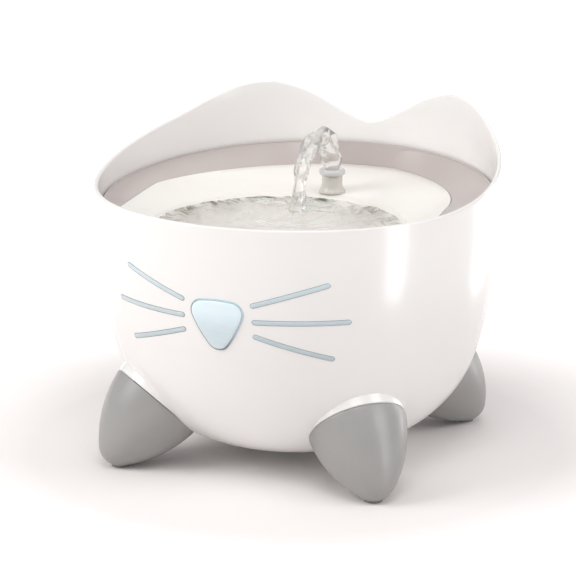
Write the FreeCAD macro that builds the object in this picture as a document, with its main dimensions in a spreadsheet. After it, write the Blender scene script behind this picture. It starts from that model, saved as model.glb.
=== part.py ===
"""Pet water fountain: an eared bowl tank on four cone feet, with a lift-out drinking tray.

Millimetres. The origin is on the table under the bowl's axis, +Z is up and the face looks
towards -Y. The bowl is symmetric about the plane x = 0.
"""
import FreeCAD, Part
import Sketcher
import math
import os

Vector = FreeCAD.Vector
Rotation = FreeCAD.Rotation
Placement = FreeCAD.Placement
X_AXIS = Vector(1, 0, 0)
Y_AXIS = Vector(0, 1, 0)
Z_AXIS = Vector(0, 0, 1)

# Driving dimensions, the values of the sheet
DIMENSIONS = {
    # Bowl
    "bowl_radius": 121.0, "bowl_wall": 2.6, "bowl_underside": 9.7, "bowl_shoulder": 150.0,
    "side_arc": 300.0, "side_arc_foot": 63.8, "blank_height": 204.0,
    "ledge_height": 134.0, "ledge_reach": 3.2, "ledge_depth": 1.6,
    # Feet
    "foot_reach": 90.2, "foot_base_height": 37.8, "foot_tilt": 46.5, "foot_base": 29.2,
    "foot_neck": 9.2, "foot_neck_height": 43.16, "foot_length": 47.06, "foot_flank_arc": 75.0,
    "foot_wall": 3.4, "collar": 30.0, "collar_flare": 1.6, "collar_depth": 26.0,
    "spigot": 25.4, "spigot_length": 5.0, "spigot_wall": 2.8, "spigot_gap": 0.3,
    "foot_flat": 0.8, "pad_radius": 5.2, "pad_thickness": 2.2,
    # Face
    "nose_top": 120.6, "nose_half_width": 21.6, "nose_height": 38.0, "nose_round": 7.5,
    "nose_side_arc": 70.0, "nose_proud": 1.5, "gasket_proud": 0.5, "light_seat": 109.0,
    "whisker_width": 2.5, "whisker_proud": 0.4, "whisker_depth": 1.0,
    # Light pod
    "pod_width": 44.0, "pod_height": 38.0, "pod_depth": 10.0, "pod_wall": 2.0,
    "pod_centre": 105.5, "board_thickness": 1.6, "light_radius": 2.5,
    # Tray
    "wall_line_height": 154.6, "wall_line_slope": 0.0855, "tray_radius": 117.4,
    "tray_skirt": 2.0, "tray_sheet": 2.4, "dish_sheet": 2.0, "dish_half_width": 93.7,
    "dish_flank_arc": 148.6, "dish_flank_centre": 15.4, "dish_gap": 0.3,
    "pool_radius": 73.0, "pool_offset": 30.0, "pool_rim_height": 144.0,
    "pool_floor_radius": 50.0, "pool_floor_height": 129.5, "pool_side_arc": 34.0,
    # Spout
    "spout_offset": 56.0, "stem_radius": 6.4, "stem_foot": 8.1, "stem_top": 156.0,
    "stem_bore": 5.35, "riser_radius": 5.0, "riser_bore": 3.6, "riser_top": 150.0,
    "nozzle_radius": 8.1, "nozzle_top": 159.6, "nozzle_bore": 4.2,
    # Filter basket
    "basket_radius": 61.0, "basket_wall": 1.8, "basket_floor": 92.0, "basket_top": 122.0,
    "lug_reach": 4.6, "lug_height": 2.0, "hook_inner": 66.4, "hook_wall": 2.6,
    "felt_thickness": 6.0, "carbon_thickness": 15.0, "lid_thickness": 2.4,
    # Pump
    "pump_width": 38.0, "pump_height": 30.0, "pump_bottom": 27.0, "motor_length": 26.0,
    "chamber_length": 10.0, "chamber_radius": 12.5, "rotor_well": 6.6, "rotor_radius": 5.8,
    "shaft_radius": 1.0, "shaft_clearance": 0.08, "cover_thickness": 3.0,
    "seat_height": 22.0, "seat_radius": 24.0, "seat_offset": 45.0, "cup_radius": 5.6,
    # Power inlet at the back
    "inlet_height": 54.0, "inlet_face": 109.0, "inlet_boss": 10.0, "jack_radius": 6.0,
    "jack_bore": 2.9, "jack_pin": 1.0, "jack_depth": 11.0,
}

FRONT_SLOTS = 7
SLOT_SPAN = 9.0
SLOT_PITCH = 12.0
VANES = 6
GRILLE_SLOTS = (-10.0, -5.0, 0.0, 5.0, 10.0)
FOOT_ANGLES = {"foot_front_right": -45.0, "foot_front_left": -135.0,
               "foot_rear_left": 135.0, "foot_rear_right": 45.0}
HOOK_ANGLES = (90.0, 210.0, 330.0)
# Height of the rim against the angle from the back: dip, ear, cheek and level front
RIM_HEIGHTS = ((0.0, 177.5), (9.0, 184.0), (19.0, 195.0), (28.0, 201.2), (33.0, 202.0),
               (40.0, 200.0), (48.0, 194.6), (60.0, 185.4), (76.0, 176.6), (95.0, 168.6),
               (112.0, 164.3), (130.0, 163.0), (155.0, 163.0), (180.0, 163.0))
# The dish's edge has a point for each step in degrees about the pool's axis, and each half of
# the surround's crescent has this many steps from the back
DISH_STEP = 5.0
CRESCENT_STEPS = 22
# Whiskers in the front view: inner end, outer end, as x and z
WHISKERS = {"upper": ((21.6, 118.9), (61.0, 131.2)), "middle": ((22.0, 109.0), (70.2, 109.0)),
            "lower": ((22.0, 100.2), (61.0, 87.0))}


class Size:
    """A length with its value and its formula in the words of the sheet."""

    def __init__(self, value, text):
        self.value = value
        self.text = text

    def joined(self, other, sign, result):
        other_text = other.text if isinstance(other, Size) else repr(float(other))
        return Size(result, "(" + self.text + " " + sign + " " + other_text + ")")

    def __add__(self, other):
        return self.joined(other, "+", self.value + number(other))

    def __sub__(self, other):
        return self.joined(other, "-", self.value - number(other))

    def __mul__(self, other):
        return self.joined(other, "*", self.value * number(other))

    def __truediv__(self, other):
        return self.joined(other, "/", self.value / number(other))

    def __neg__(self):
        return Size(-self.value, "(0 - " + self.text + ")")


def number(value):
    return value.value if isinstance(value, Size) else float(value)


def root(value):
    return Size(math.sqrt(value.value), "sqrt(" + value.text + ")")


def dim(name):
    return Size(DIMENSIONS[name], "Sizes." + name)


doc = FreeCAD.newDocument("PetFountain")
sheet = doc.addObject("Spreadsheet::Sheet", "Sizes")
for row, (alias, amount) in enumerate(DIMENSIONS.items(), start=1):
    sheet.set("A%d" % row, alias.replace("_", " "))
    sheet.set("B%d" % row, str(amount))
    sheet.setAlias("B%d" % row, alias)
doc.recompute()

NODES = {}


def bind(thing, prop, value):
    if isinstance(value, Size):
        thing.setExpression(prop, value.text)
    else:
        setattr(thing, prop, value)


def node(name, thing):
    thing.Label = name
    NODES[name] = thing
    return thing


def moved(thing, x=0.0, y=0.0, z=0.0, rotation=None):
    """Place an object, with each part of its place that is a sheet size bound to the sheet."""
    thing.Placement = Placement(Vector(number(x), number(y), number(z)), rotation or Rotation())
    for axis, value in (("x", x), ("y", y), ("z", z)):
        if isinstance(value, Size):
            thing.setExpression("Placement.Base." + axis, value.text)
    return thing


def new_body(name):
    return doc.addObject("PartDesign::Body", name)


def origin_plane(body, role):
    return [part for part in body.Origin.OriginFeatures if part.Role == role][0]


def arc_centre(start, end, radius):
    """Centre of the arc from start to end, on the left of the way for a positive radius."""
    mid_x = (start[0] + end[0]) / 2
    mid_y = (start[1] + end[1]) / 2
    along_x = end[0] - start[0]
    along_y = end[1] - start[1]
    chord = math.hypot(along_x, along_y)
    rise = math.sqrt(max(radius * radius - chord * chord / 4, 0.0)) * (1 if radius > 0 else -1)
    return mid_x - along_y / chord * rise, mid_y + along_x / chord * rise


def outline(body, role, name, path):
    """A closed sketch. Each corner is (x, y), or (x, y, radius) where an arc comes to it."""
    sketch = body.newObject("Sketcher::SketchObject", name)
    sketch.AttachmentSupport = [(origin_plane(body, role), "")]
    sketch.MapMode = "FlatFace"
    return draw(sketch, path)


def draw(sketch, path):
    points = [(number(corner[0]), number(corner[1])) for corner in path]
    ends = []
    for index, corner in enumerate(path):
        start = points[index - 1]
        end = points[index]
        if len(corner) == 3:
            radius = number(corner[2])
            cx, cy = arc_centre(start, end, radius)
            first, last = (start, end) if radius > 0 else (end, start)
            angle_a = math.atan2(first[1] - cy, first[0] - cx)
            angle_b = math.atan2(last[1] - cy, last[0] - cx)
            if angle_b < angle_a:
                angle_b += 2 * math.pi
            circle = Part.Circle(Vector(cx, cy, 0), Z_AXIS, abs(radius))
            geo = sketch.addGeometry(Part.ArcOfCircle(circle, angle_a, angle_b), False)
            ends.append((geo, 1, 2) if radius > 0 else (geo, 2, 1))
        else:
            geo = sketch.addGeometry(Part.LineSegment(Vector(*start, 0), Vector(*end, 0)), False)
            ends.append((geo, 1, 2))
    for index, corner in enumerate(path):
        geo, begin, finish = ends[index]
        following = ends[(index + 1) % len(ends)]
        sketch.addConstraint(Sketcher.Constraint("Coincident", geo, finish,
                                                 following[0], following[1]))
        for kind, value in (("DistanceX", corner[0]), ("DistanceY", corner[1])):
            place = sketch.addConstraint(Sketcher.Constraint(kind, -1, 1, geo, finish,
                                                             number(value)))
            if isinstance(value, Size):
                sketch.setExpression("Constraints[%d]" % place, value.text)
        chord = math.dist(points[index - 1], points[index])
        if len(corner) == 3 and abs(number(corner[2])) > chord * 0.501:
            radius = corner[2]
            place = sketch.addConstraint(Sketcher.Constraint("Radius", geo,
                                                             abs(number(radius))))
            if isinstance(radius, Size):
                text = radius.text if radius.value > 0 else (-radius).text
                sketch.setExpression("Constraints[%d]" % place, text)
    return sketch


def revolved(name, path):
    """A body turned about its own Z axis from an outline of radius and height."""
    body = new_body(name)
    sketch = outline(body, "XZ_Plane", name + "_profile", path)
    turn = body.newObject("PartDesign::Revolution", name + "_turn")
    turn.Profile = sketch
    turn.ReferenceAxis = (sketch, ["V_Axis"])
    turn.Angle = 360.0
    body.Tip = turn
    return body


def padded(name, role, path, length):
    """A body padded from one outline. On XZ_Plane it grows towards -Y."""
    body = new_body(name)
    sketch = outline(body, role, name + "_outline", path)
    pad = body.newObject("PartDesign::Pad", name + "_pad")
    pad.Profile = sketch
    bind(pad, "Length", length)
    body.Tip = pad
    return body


def patterned(body, repeated, name, count):
    """Repeat a feature round the body's own axis."""
    axis = [part for part in body.Origin.OriginFeatures if part.Role == "Z_Axis"][0]
    pattern = body.newObject("PartDesign::PolarPattern", name)
    pattern.Originals = [repeated]
    pattern.Axis = (axis, [""])
    pattern.Angle = 360.0
    pattern.Occurrences = count
    body.Tip = pattern
    return pattern


def cylinder(name, radius, height, **place):
    thing = doc.addObject("Part::Cylinder", name)
    bind(thing, "Radius", radius)
    bind(thing, "Height", height)
    return moved(thing, **place)


def box(name, length, width, height, **place):
    """A box whose place is the middle of its underside."""
    thing = doc.addObject("Part::Box", name)
    bind(thing, "Length", length)
    bind(thing, "Width", width)
    bind(thing, "Height", height)
    x = place.get("x", 0.0)
    y = place.get("y", 0.0)
    half_length = length / 2
    half_width = width / 2
    place["x"] = -half_length + x if isinstance(half_length, Size) else number(x) - half_length
    place["y"] = -half_width + y if isinstance(half_width, Size) else number(y) - half_width
    if not isinstance(half_length, Size) and isinstance(x, Size):
        place["x"] = x - half_length
    if not isinstance(half_width, Size) and isinstance(y, Size):
        place["y"] = y - half_width
    return moved(thing, **place)


def cut(name, base, *tools, apart=False):
    """Cut tools out of a base. Tools that are clear of each other go as one group."""
    thing = doc.addObject("Part::Cut", name)
    thing.Base = base
    if len(tools) == 1:
        thing.Tool = tools[0]
    elif apart:
        thing.Tool = group(name + "_tools", tools)
    else:
        thing.Tool = fuse(name + "_tools", *tools)
    thing.Refine = True
    return thing


def fuse(name, *parts):
    thing = doc.addObject("Part::MultiFuse", name)
    thing.Shapes = list(parts)
    thing.Refine = True
    return thing


def common(name, first, second):
    thing = doc.addObject("Part::MultiCommon", name)
    thing.Shapes = [first, second]
    thing.Refine = True
    return thing


def group(name, parts):
    """Separate like solids that share one node."""
    thing = doc.addObject("Part::Compound", name)
    thing.Links = list(parts)
    return thing


def feature(name, shape):
    thing = doc.addObject("Part::Feature", name)
    thing.Shape = shape
    return thing


def corner_arcs(corners, radius):
    """A closed path through rounded corners, given in counter-clockwise order."""
    path = []
    for index, here in enumerate(corners):
        before = corners[index - 1]
        after = corners[(index + 1) % len(corners)]
        back = math.hypot(before[0] - here[0], before[1] - here[1])
        ahead = math.hypot(after[0] - here[0], after[1] - here[1])
        ux, uy = (before[0] - here[0]) / back, (before[1] - here[1]) / back
        vx, vy = (after[0] - here[0]) / ahead, (after[1] - here[1]) / ahead
        half = math.acos(ux * vx + uy * vy) / 2
        reach = radius / math.tan(half)
        path.append((here[0] + ux * reach, here[1] + uy * reach))
        path.append((here[0] + vx * reach, here[1] + vy * reach, radius))
    return path


def rounded_plate(width, height, radius, middle=0.0):
    half = width / 2
    return corner_arcs(((half, middle - height / 2), (half, middle + height / 2),
                        (-half, middle + height / 2), (-half, middle - height / 2)), radius)


# Bowl: a flat underside, a tight arc, a long side arc and an upright top, all tangent
bowl_radius = dim("bowl_radius")
wall = dim("bowl_wall")
side_arc = dim("side_arc")
shoulder = dim("bowl_shoulder")
side_foot = dim("side_arc_foot")
underside = dim("bowl_underside")
side_drop = shoulder - side_foot
side_run = root(side_arc * side_arc - side_drop * side_drop)
side_foot_radius = bowl_radius - side_arc + side_run
under_arc = (side_foot - underside) / (-(side_drop / side_arc) + 1)
under_arc_middle = side_foot_radius - under_arc * side_run / side_arc


def bowl_profile(offset, top):
    """The bowl's outline as a solid of revolution, drawn outside its skin by offset."""
    lean_out = side_run / side_arc * offset
    lean_down = side_drop / side_arc * offset
    return [(0.0, underside - offset), (under_arc_middle, underside - offset),
            (side_foot_radius + lean_out, side_foot - lean_down, under_arc + offset),
            (bowl_radius + offset, shoulder, side_arc + offset),
            (bowl_radius + offset, top), (0.0, top)]


def ring_points(count, radius_of, height_of, middle_y=0.0, first=0.0, last=360.0):
    """Points round a vertical axis at (0, middle_y). Angles run from +X towards +Y."""
    points = []
    for step in range(count):
        angle = math.radians(first + (last - first) * step / count)
        radius = radius_of(angle)
        x = radius * math.cos(angle)
        y = middle_y + radius * math.sin(angle)
        points.append(Vector(x, y, height_of(x, y, angle)))
    return points


def closed_curve(points):
    """Smooth closed curve whose parameter counts the points, so that rulings match."""
    curve = Part.BSplineCurve()
    steps = [float(step) for step in range(len(points) + 1)]
    curve.interpolate(Points=points, PeriodicFlag=True, Parameters=steps)
    return curve.toShape()


def open_curve(points):
    curve = Part.BSplineCurve()
    steps = [float(step) for step in range(len(points))]
    curve.interpolate(Points=points, Parameters=steps)
    return curve.toShape()


def rim_height(angle):
    """Height of the eared rim at an angle from +X, by a smooth curve through RIM_HEIGHTS."""
    from_back = abs((math.degrees(angle) - 90.0 + 180.0) % 360.0 - 180.0)
    table = RIM_HEIGHTS
    index = max(i for i in range(len(table) - 1) if table[i][0] <= from_back)
    a0, h0 = table[index]
    a1, h1 = table[index + 1]
    slope0 = 0.0 if index == 0 else (h1 - table[index - 1][1]) / (a1 - table[index - 1][0])
    last = index + 2 >= len(table)
    slope1 = 0.0 if last else (table[index + 2][1] - h0) / (table[index + 2][0] - a0)
    span = a1 - a0
    u = (from_back - a0) / span
    return ((2 * u ** 3 - 3 * u ** 2 + 1) * h0 + (u ** 3 - 2 * u ** 2 + u) * span * slope0
            + (3 * u ** 2 - 2 * u ** 3) * h1 + (u ** 3 - u ** 2) * span * slope1)


def ear_cutter():
    """Everything above the eared rim: a band with level radial rulings, raised upwards."""
    margin = 1.5
    inner = number(bowl_radius) - number(wall) - margin
    outer = number(bowl_radius) + margin
    count = 60
    low = ring_points(count, lambda a: inner, lambda x, y, a: rim_height(a))
    high = ring_points(count, lambda a: outer, lambda x, y, a: rim_height(a))
    band = Part.makeRuledSurface(closed_curve(low), closed_curve(high))
    return band.extrude(Vector(0, 0, number(dim("blank_height"))))


def foot_frame(angle):
    """Placement of a foot: its own +Z points outwards and down to the foot's tip."""
    tilt = number(dim("foot_tilt"))
    turn = Rotation(Z_AXIS, angle).multiply(Rotation(Y_AXIS, 90.0 + tilt))
    base = Rotation(Z_AXIS, angle).multVec(Vector(number(dim("foot_reach")), 0,
                                                  number(dim("foot_base_height"))))
    return Placement(base, turn)


def foot_collar(name, angle):
    """White collar that a foot is pressed onto, with its spigot ring."""
    spigot = dim("spigot")
    inner = spigot - dim("spigot_wall")
    body = revolved(name, [
        (0.0, -dim("collar_depth")), (dim("collar") + dim("collar_flare"), -dim("collar_depth")),
        (dim("foot_base"), 0.0), (spigot, 0.0), (spigot, dim("spigot_length")),
        (inner, dim("spigot_length")), (inner, 0.0), (0.0, 0.0)])
    body.Placement = foot_frame(angle)
    return body


def nose_path(inset):
    """The nose's rounded triangle in the front view, drawn in by inset."""
    top = number(dim("nose_top"))
    half = number(dim("nose_half_width"))
    height = number(dim("nose_height"))
    slant = math.hypot(half, height)
    side_shift = inset * slant / height
    low = inset * slant / half
    new_half = half - side_shift - inset * half / height
    corners = ((0.0, top - height + low), (new_half, top - inset), (-new_half, top - inset))
    side = number(dim("nose_side_arc")) - inset
    return [corner if len(corner) == 3 else (*corner, side)
            for corner in corner_arcs(corners, number(dim("nose_round")) - inset)]


def whisker_path(which, side, grow):
    """A bar with round ends in the front view."""
    (x0, z0), (x1, z1) = WHISKERS[which]
    if side < 0:
        x0, z0, x1, z1 = -x1, z1, -x0, z0
    half = number(dim("whisker_width")) / 2 + grow
    length = math.hypot(x1 - x0, z1 - z0)
    ux, uz = (x1 - x0) / length, (z1 - z0) / length
    nx, nz = -uz * half, ux * half
    return [(x1 - nx, z1 - nz), (x1 + nx, z1 + nz, half),
            (x0 + nx, z0 + nz), (x0 - nx, z0 - nz, half)]


def bowl_solid(name, offset):
    return revolved(name, bowl_profile(offset, dim("blank_height")))


def make_whiskers():
    """Six bars let into shallow grooves in the face. Returns the groove cutters."""
    floor = bowl_solid("whisker_floor", number(dim("whisker_depth")) * -1.0)
    skin = bowl_solid("whisker_skin", number(dim("whisker_proud")))
    depth = bowl_radius + 4.0
    grooves = []
    for side, side_name in ((-1, "left"), (1, "right")):
        for which in WHISKERS:
            name = "whisker_%s_%s" % (side_name, which)
            bar = padded(name + "_bar", "XZ_Plane", whisker_path(which, side, 0.0), depth)
            trimmed = common(name + "_trimmed", bar, skin)
            node(name, cut(name, trimmed, floor))
            slot = padded(name + "_slot", "XZ_Plane", whisker_path(which, side, 0.1), depth)
            grooves.append(cut(name + "_groove", slot, floor))
    return grooves


def make_nose():
    """Lens and gasket that go through the wall to a flat seat. Returns the window cutter."""
    seat = dim("light_seat")
    depth = bowl_radius + 4.0 - seat
    parts = {}
    window_clear = 6.0
    for name, inset, proud in (("nose_window", 0.0, window_clear),
                               ("nose_gasket", 0.05, dim("gasket_proud")),
                               ("nose_lens", 0.95, dim("nose_proud"))):
        prism = padded(name + "_prism", "XZ_Plane", nose_path(inset), depth)
        moved(prism, y=-seat)
        parts[name] = common(name + "_body", prism, bowl_solid(name + "_skin", proud))
    hole = padded("nose_gasket_hole", "XZ_Plane", nose_path(0.9), depth + 2.0)
    moved(hole, y=-seat + 1.0)
    node("nose_gasket", cut("nose_gasket", parts["nose_gasket"], hole))
    node("nose_lens", parts["nose_lens"])
    return parts["nose_window"]


def make_shell():
    """White tank: bowl, ears, collars, tray ledge, pump seat, light seat and inlet boss."""
    outside = bowl_solid("bowl_outside", 0.0)
    cavity = bowl_solid("bowl_cavity", -wall)
    collars = [foot_collar(name + "_collar", angle) for name, angle in FOOT_ANGLES.items()]
    inlet = cylinder("inlet_boss", dim("inlet_boss"), 16.0, y=dim("inlet_face"),
                     z=dim("inlet_height"), rotation=Rotation(X_AXIS, 90.0))
    inlet_core = cylinder("inlet_core", dim("inlet_boss"), 17.0, y=dim("inlet_face") - 1.0,
                          z=dim("inlet_height"), rotation=Rotation(X_AXIS, 90.0))
    hull = fuse("tank_hull", outside, inlet, *collars)
    tank = cut("tank_wall", hull, cavity)
    ledge_top = dim("ledge_height")
    ledge_in = bowl_radius - wall - dim("ledge_reach")
    ledge = revolved("tray_ledge", [
        (ledge_in, ledge_top - dim("ledge_depth")), (bowl_radius - 1.0, ledge_top - 7.0),
        (bowl_radius - 1.0, ledge_top), (ledge_in, ledge_top)])
    seat = cylinder("pump_seat", dim("seat_radius"), dim("seat_height") - underside - 1.0,
                    y=dim("seat_offset"), z=underside + 1.0)
    light_boss = box("light_boss", dim("pod_width") + 4.0, 14.0, dim("pod_height") + 4.0,
                     y=-dim("light_seat") - 7.0, z=dim("pod_centre") - 21.0)
    inner_bosses = common("inner_bosses", fuse("bosses", ledge, seat, light_boss, inlet_core), outside)
    fitted = fuse("tank_fitted", tank, inner_bosses)
    pocket = cylinder("jack_pocket", dim("jack_radius") + 0.05, dim("jack_depth"),
                      y=dim("inlet_face"), z=dim("inlet_height"),
                      rotation=Rotation(X_AXIS, 90.0))
    ears = feature("ear_cutter", ear_cutter())
    window = make_nose()
    grooves = make_whiskers()
    trimmed = cut("tank_trimmed", fitted, ears)
    node("outer_shell", cut("outer_shell", trimmed, window, pocket, *grooves, apart=True))


def make_foot(name, angle):
    """Hollow grey cone with a round tip, flattened underneath for its pad."""
    base = dim("foot_base")
    socket = dim("spigot") + dim("spigot_gap")
    neck_in = dim("foot_neck") - 2.0
    cone = revolved(name + "_cone", [
        (socket, 0.0), (base, 0.0),
        (dim("foot_neck"), dim("foot_neck_height"), dim("foot_flank_arc")),
        (0.0, dim("foot_length"), foot_tip_arc()),
        (0.0, dim("foot_length") - dim("foot_wall") * 2.0),
        (neck_in - 3.0, dim("foot_length") - dim("foot_wall") * 2.0),
        (neck_in, dim("foot_length") - dim("foot_wall") * 4.0),
        (socket - 1.6, dim("spigot_length") + 1.4), (socket, dim("spigot_length") + 1.4)])
    cone.Placement = foot_frame(angle)
    bowl = bowl_solid(name + "_bowl", 0.3)
    turn = Rotation(Z_AXIS, angle)
    reach = pad_reach()
    place = turn.multVec(Vector(reach, 0, 0))
    flat = cylinder(name + "_flat", 30.0, 20.0, x=place.x, y=place.y, z=dim("foot_flat") - 20.0)
    recess = cylinder(name + "_recess", dim("pad_radius"), dim("pad_thickness"),
                      x=place.x, y=place.y)
    node(name, cut(name, cone, flat, recess, bowl))
    return cylinder(name + "_pad", dim("pad_radius"), dim("pad_thickness"),
                    x=place.x, y=place.y)


def foot_tip_arc():
    """Radius that puts the centre of the round tip on the foot's own axis."""
    rise = dim("foot_length") - dim("foot_neck_height")
    neck = dim("foot_neck")
    return (rise * rise + neck * neck) / (rise * 2)


def pad_reach():
    """Distance of a foot's lowest point from the bowl's axis."""
    tilt = math.radians(number(dim("foot_tilt")))
    along = number(dim("foot_length")) - number(foot_tip_arc())
    return number(dim("foot_reach")) + along * math.cos(tilt)


def make_feet():
    pads = [make_foot(name, angle) for name, angle in FOOT_ANGLES.items()]
    node("foot_pads", group("foot_pads", pads))


def make_light_pod():
    """Sealed light behind the nose: case, board, three lights, cover and its screws."""
    seat = dim("light_seat")
    width = dim("pod_width")
    height = dim("pod_height")
    depth = dim("pod_depth")
    pod_wall = dim("pod_wall")
    low = dim("pod_centre") - height / 2
    case_outer = box("light_case_block", width, depth, height, y=-seat + depth / 2, z=low)
    hollow = box("light_case_hollow", width - pod_wall * 2, depth, height - pod_wall * 2,
                 y=-seat + depth / 2 + pod_wall, z=low + pod_wall)
    window = box("light_case_window", 24.0, 8.0, 22.0, y=-seat, z=dim("pod_centre") - 11.0)
    posts = [box("light_post_%d" % i, 5.0, depth - 1.2, 5.0, x=sx * 17.0,
                 y=-seat + depth / 2 + 0.4, z=dim("pod_centre") + sz * 14.0 - 2.5)
             for i, (sx, sz) in enumerate(((1, 1), (1, -1), (-1, 1), (-1, -1)))]
    case = fuse("light_case", cut("light_case_cup", case_outer, hollow, window), *posts)
    pilots = [cylinder("light_pilot_%d" % i, 0.9, 6.0, x=sx * 17.0, y=-seat + depth,
                       z=dim("pod_centre") + sz * 14.0, rotation=Rotation(X_AXIS, 90.0))
              for i, (sx, sz) in enumerate(((1, 1), (1, -1), (-1, 1), (-1, -1)))]
    node("light_case", cut("light_case_drilled", case, *pilots, apart=True))
    board = box("light_board", 28.0, dim("board_thickness"), 32.0,
                y=-seat + depth - 3.4, z=dim("pod_centre") - 16.0)
    node("light_board", board)
    lights = []
    for index, shift in enumerate((-8.0, 0.0, 8.0)):
        lights.append(light_bead("light_bead_%d" % index, shift))
    node("light_beads", group("light_beads", lights))
    cover = box("light_cover_plate", width, 2.0, height, y=-seat + depth + 1.0, z=low)
    holes = [cylinder("light_hole_%d" % i, 1.3, 8.0, x=sx * 17.0, y=-seat + depth + 5.0,
                      z=dim("pod_centre") + sz * 14.0, rotation=Rotation(X_AXIS, 90.0))
             for i, (sx, sz) in enumerate(((1, 1), (1, -1), (-1, 1), (-1, -1)))]
    node("light_cover", cut("light_cover", cover, *holes, apart=True))
    screws = [screw("light_screw_%d" % i, sx * 17.0, dim("pod_centre") + sz * 14.0)
              for i, (sx, sz) in enumerate(((1, 1), (1, -1), (-1, 1), (-1, -1)))]
    node("light_cover_screws", group("light_cover_screws", screws))


def light_bead(name, shift):
    """A light with a round front, looking towards the nose."""
    radius = dim("light_radius")
    bead = revolved(name, [(0.0, 0.0), (radius, 0.0), (radius, 1.0), (0.0, radius + 1.0, radius)])
    board_front = -dim("light_seat") + dim("pod_depth") - 3.4 - dim("board_thickness") / 2
    return moved(bead, x=shift, y=board_front, z=dim("pod_centre") + 0.0,
                 rotation=Rotation(X_AXIS, 90.0))


def screw(name, x, z):
    """Pan-head screw that goes in towards the nose."""
    body = revolved(name, [(0.0, -1.5), (2.3, -1.5), (2.3, -0.6), (1.4, 0.0, 1.2), (0.85, 0.0),
                           (0.85, 5.0), (0.0, 5.6)])
    return moved(body, x=x, y=-dim("light_seat") + dim("pod_depth") + 2.0, z=z,
                 rotation=Rotation(X_AXIS, 90.0))


def dish_edge_radius(angle, inset=0.0):
    """Distance from the pool's axis to the edge of the cream dish: the wall, two parallel
    sides and two flank arcs that meet in a point at the back."""
    dx, dy = math.cos(angle), math.sin(angle)
    middle_y = -number(dim("pool_offset"))
    wall_radius = number(dim("tray_radius")) - number(dim("tray_skirt")) - 0.3 - inset
    hits = [circle_hit(dx, dy, middle_y, 0.0, 0.0, wall_radius)]
    half = number(dim("dish_half_width")) - inset
    if abs(dx) > 1e-6:
        hits.append(half / abs(dx))
    arc = number(dim("dish_flank_arc"))
    arc_y = -number(dim("dish_flank_centre"))
    arc_x = number(dim("dish_half_width")) - arc
    side_hit = circle_hit(dx, dy, middle_y, arc_x if dx >= 0 else -arc_x, arc_y, arc - inset)
    if middle_y + side_hit * dy > arc_y:
        hits.append(side_hit)
    return min(hits)


def circle_hit(dx, dy, from_y, cx, cy, radius):
    """Distance along a ray from (0, from_y) to the far side of a circle."""
    along = dx * (0 - cx) + dy * (from_y - cy)
    square = (0 - cx) ** 2 + (from_y - cy) ** 2 - radius ** 2
    return -along + math.sqrt(along ** 2 - square)


def wall_line(y):
    """Height of the surround's top edge, tipped forward."""
    return number(dim("wall_line_height")) + number(dim("wall_line_slope")) * y


def dish_edge_height(y):
    """Height of the dish's edge: level with the wall line in front, sunk below it behind."""
    behind = max(y, 0.0)
    return wall_line(y) - 0.128 * behind


def make_surround():
    """Warm grey ring: skirt on the ledge, sloping crescent and the dish's seat."""
    skirt_out = dim("tray_radius")
    skirt_in = skirt_out - dim("tray_skirt")
    skirt = revolved("surround_skirt", [
        (skirt_in, dim("ledge_height")), (skirt_out, dim("ledge_height")),
        (skirt_out, 180.0), (skirt_in, 180.0)])
    tip = math.degrees(math.atan(number(dim("wall_line_slope"))))
    above = doc.addObject("Part::Box", "surround_trim")
    above.Length = 300.0
    above.Width = 300.0
    above.Height = 60.0
    lift = number(dim("wall_line_height"))
    turn = Rotation(X_AXIS, tip)
    above.Placement = Placement(Vector(0, 0, lift) + turn.multVec(Vector(-150, -150, 0)), turn)
    ring = cut("surround_ring", skirt, above)
    halves = []
    for side, side_name in ((-1, "left"), (1, "right")):
        halves.append(feature("surround_crescent_" + side_name, crescent_sheet(side)))
        halves.append(feature("surround_seat_" + side_name, crescent_seat(side)))
    node("tray_surround", fuse("tray_surround", ring, *halves))


def crescent_angles():
    """Angles about the pool's axis of one half of the crescent, from the back forwards. They
    fall on the dish's own points, so that the two edges have one course."""
    return [math.radians(90.0 - DISH_STEP * step) for step in range(CRESCENT_STEPS + 1)]


def dish_edge_point(angle, inset, drop):
    """A point on a ray from the pool's axis, inset from the dish's edge. It follows the slope
    of the dish's floor and lies drop below it."""
    edge = dish_edge_radius(angle)
    middle_y = -number(dim("pool_offset"))
    top = dish_edge_height(middle_y + edge * math.sin(angle))
    slope = (number(dim("pool_rim_height")) - top) / (edge - number(dim("pool_radius")))
    radius = edge - inset
    return Vector(radius * math.cos(angle), middle_y + radius * math.sin(angle),
                  top + slope * max(inset, 0.0) - drop)


def mirrored(points, side):
    return [Vector(side * point.x, point.y, point.z) for point in points]


def crescent_sheet(side):
    """One half of the sloping crescent, from the skirt to the dish's edge."""
    lip = 0.5
    ring = number(dim("tray_radius")) - 1.0
    middle_y = -number(dim("pool_offset"))
    outer_points = []
    inner_points = []
    for angle in crescent_angles():
        reach = circle_hit(math.cos(angle), math.sin(angle), middle_y, 0.0, 0.0, ring)
        y = middle_y + reach * math.sin(angle)
        outer_points.append(Vector(reach * math.cos(angle), y, wall_line(y) - lip))
        inner_points.append(dish_edge_point(angle, 0.0, 0.0))
    face = Part.makeRuledSurface(open_curve(mirrored(outer_points, side)),
                                 open_curve(mirrored(inner_points, side)))
    return face.extrude(Vector(0, 0, -number(dim("tray_sheet"))))


def crescent_seat(side):
    """Narrow shelf under the crescent's inner edge, which the dish lies on."""
    shelf_width = 5.0
    shelf_thickness = 1.8
    bite = 0.8
    drop = number(dim("dish_sheet")) + 0.1
    near_points = [dish_edge_point(angle, -bite, drop) for angle in crescent_angles()]
    far_points = [dish_edge_point(angle, shelf_width, drop) for angle in crescent_angles()]
    face = Part.makeRuledSurface(open_curve(mirrored(near_points, side)),
                                 open_curve(mirrored(far_points, side)))
    return face.extrude(Vector(0, 0, -shelf_thickness))


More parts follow.
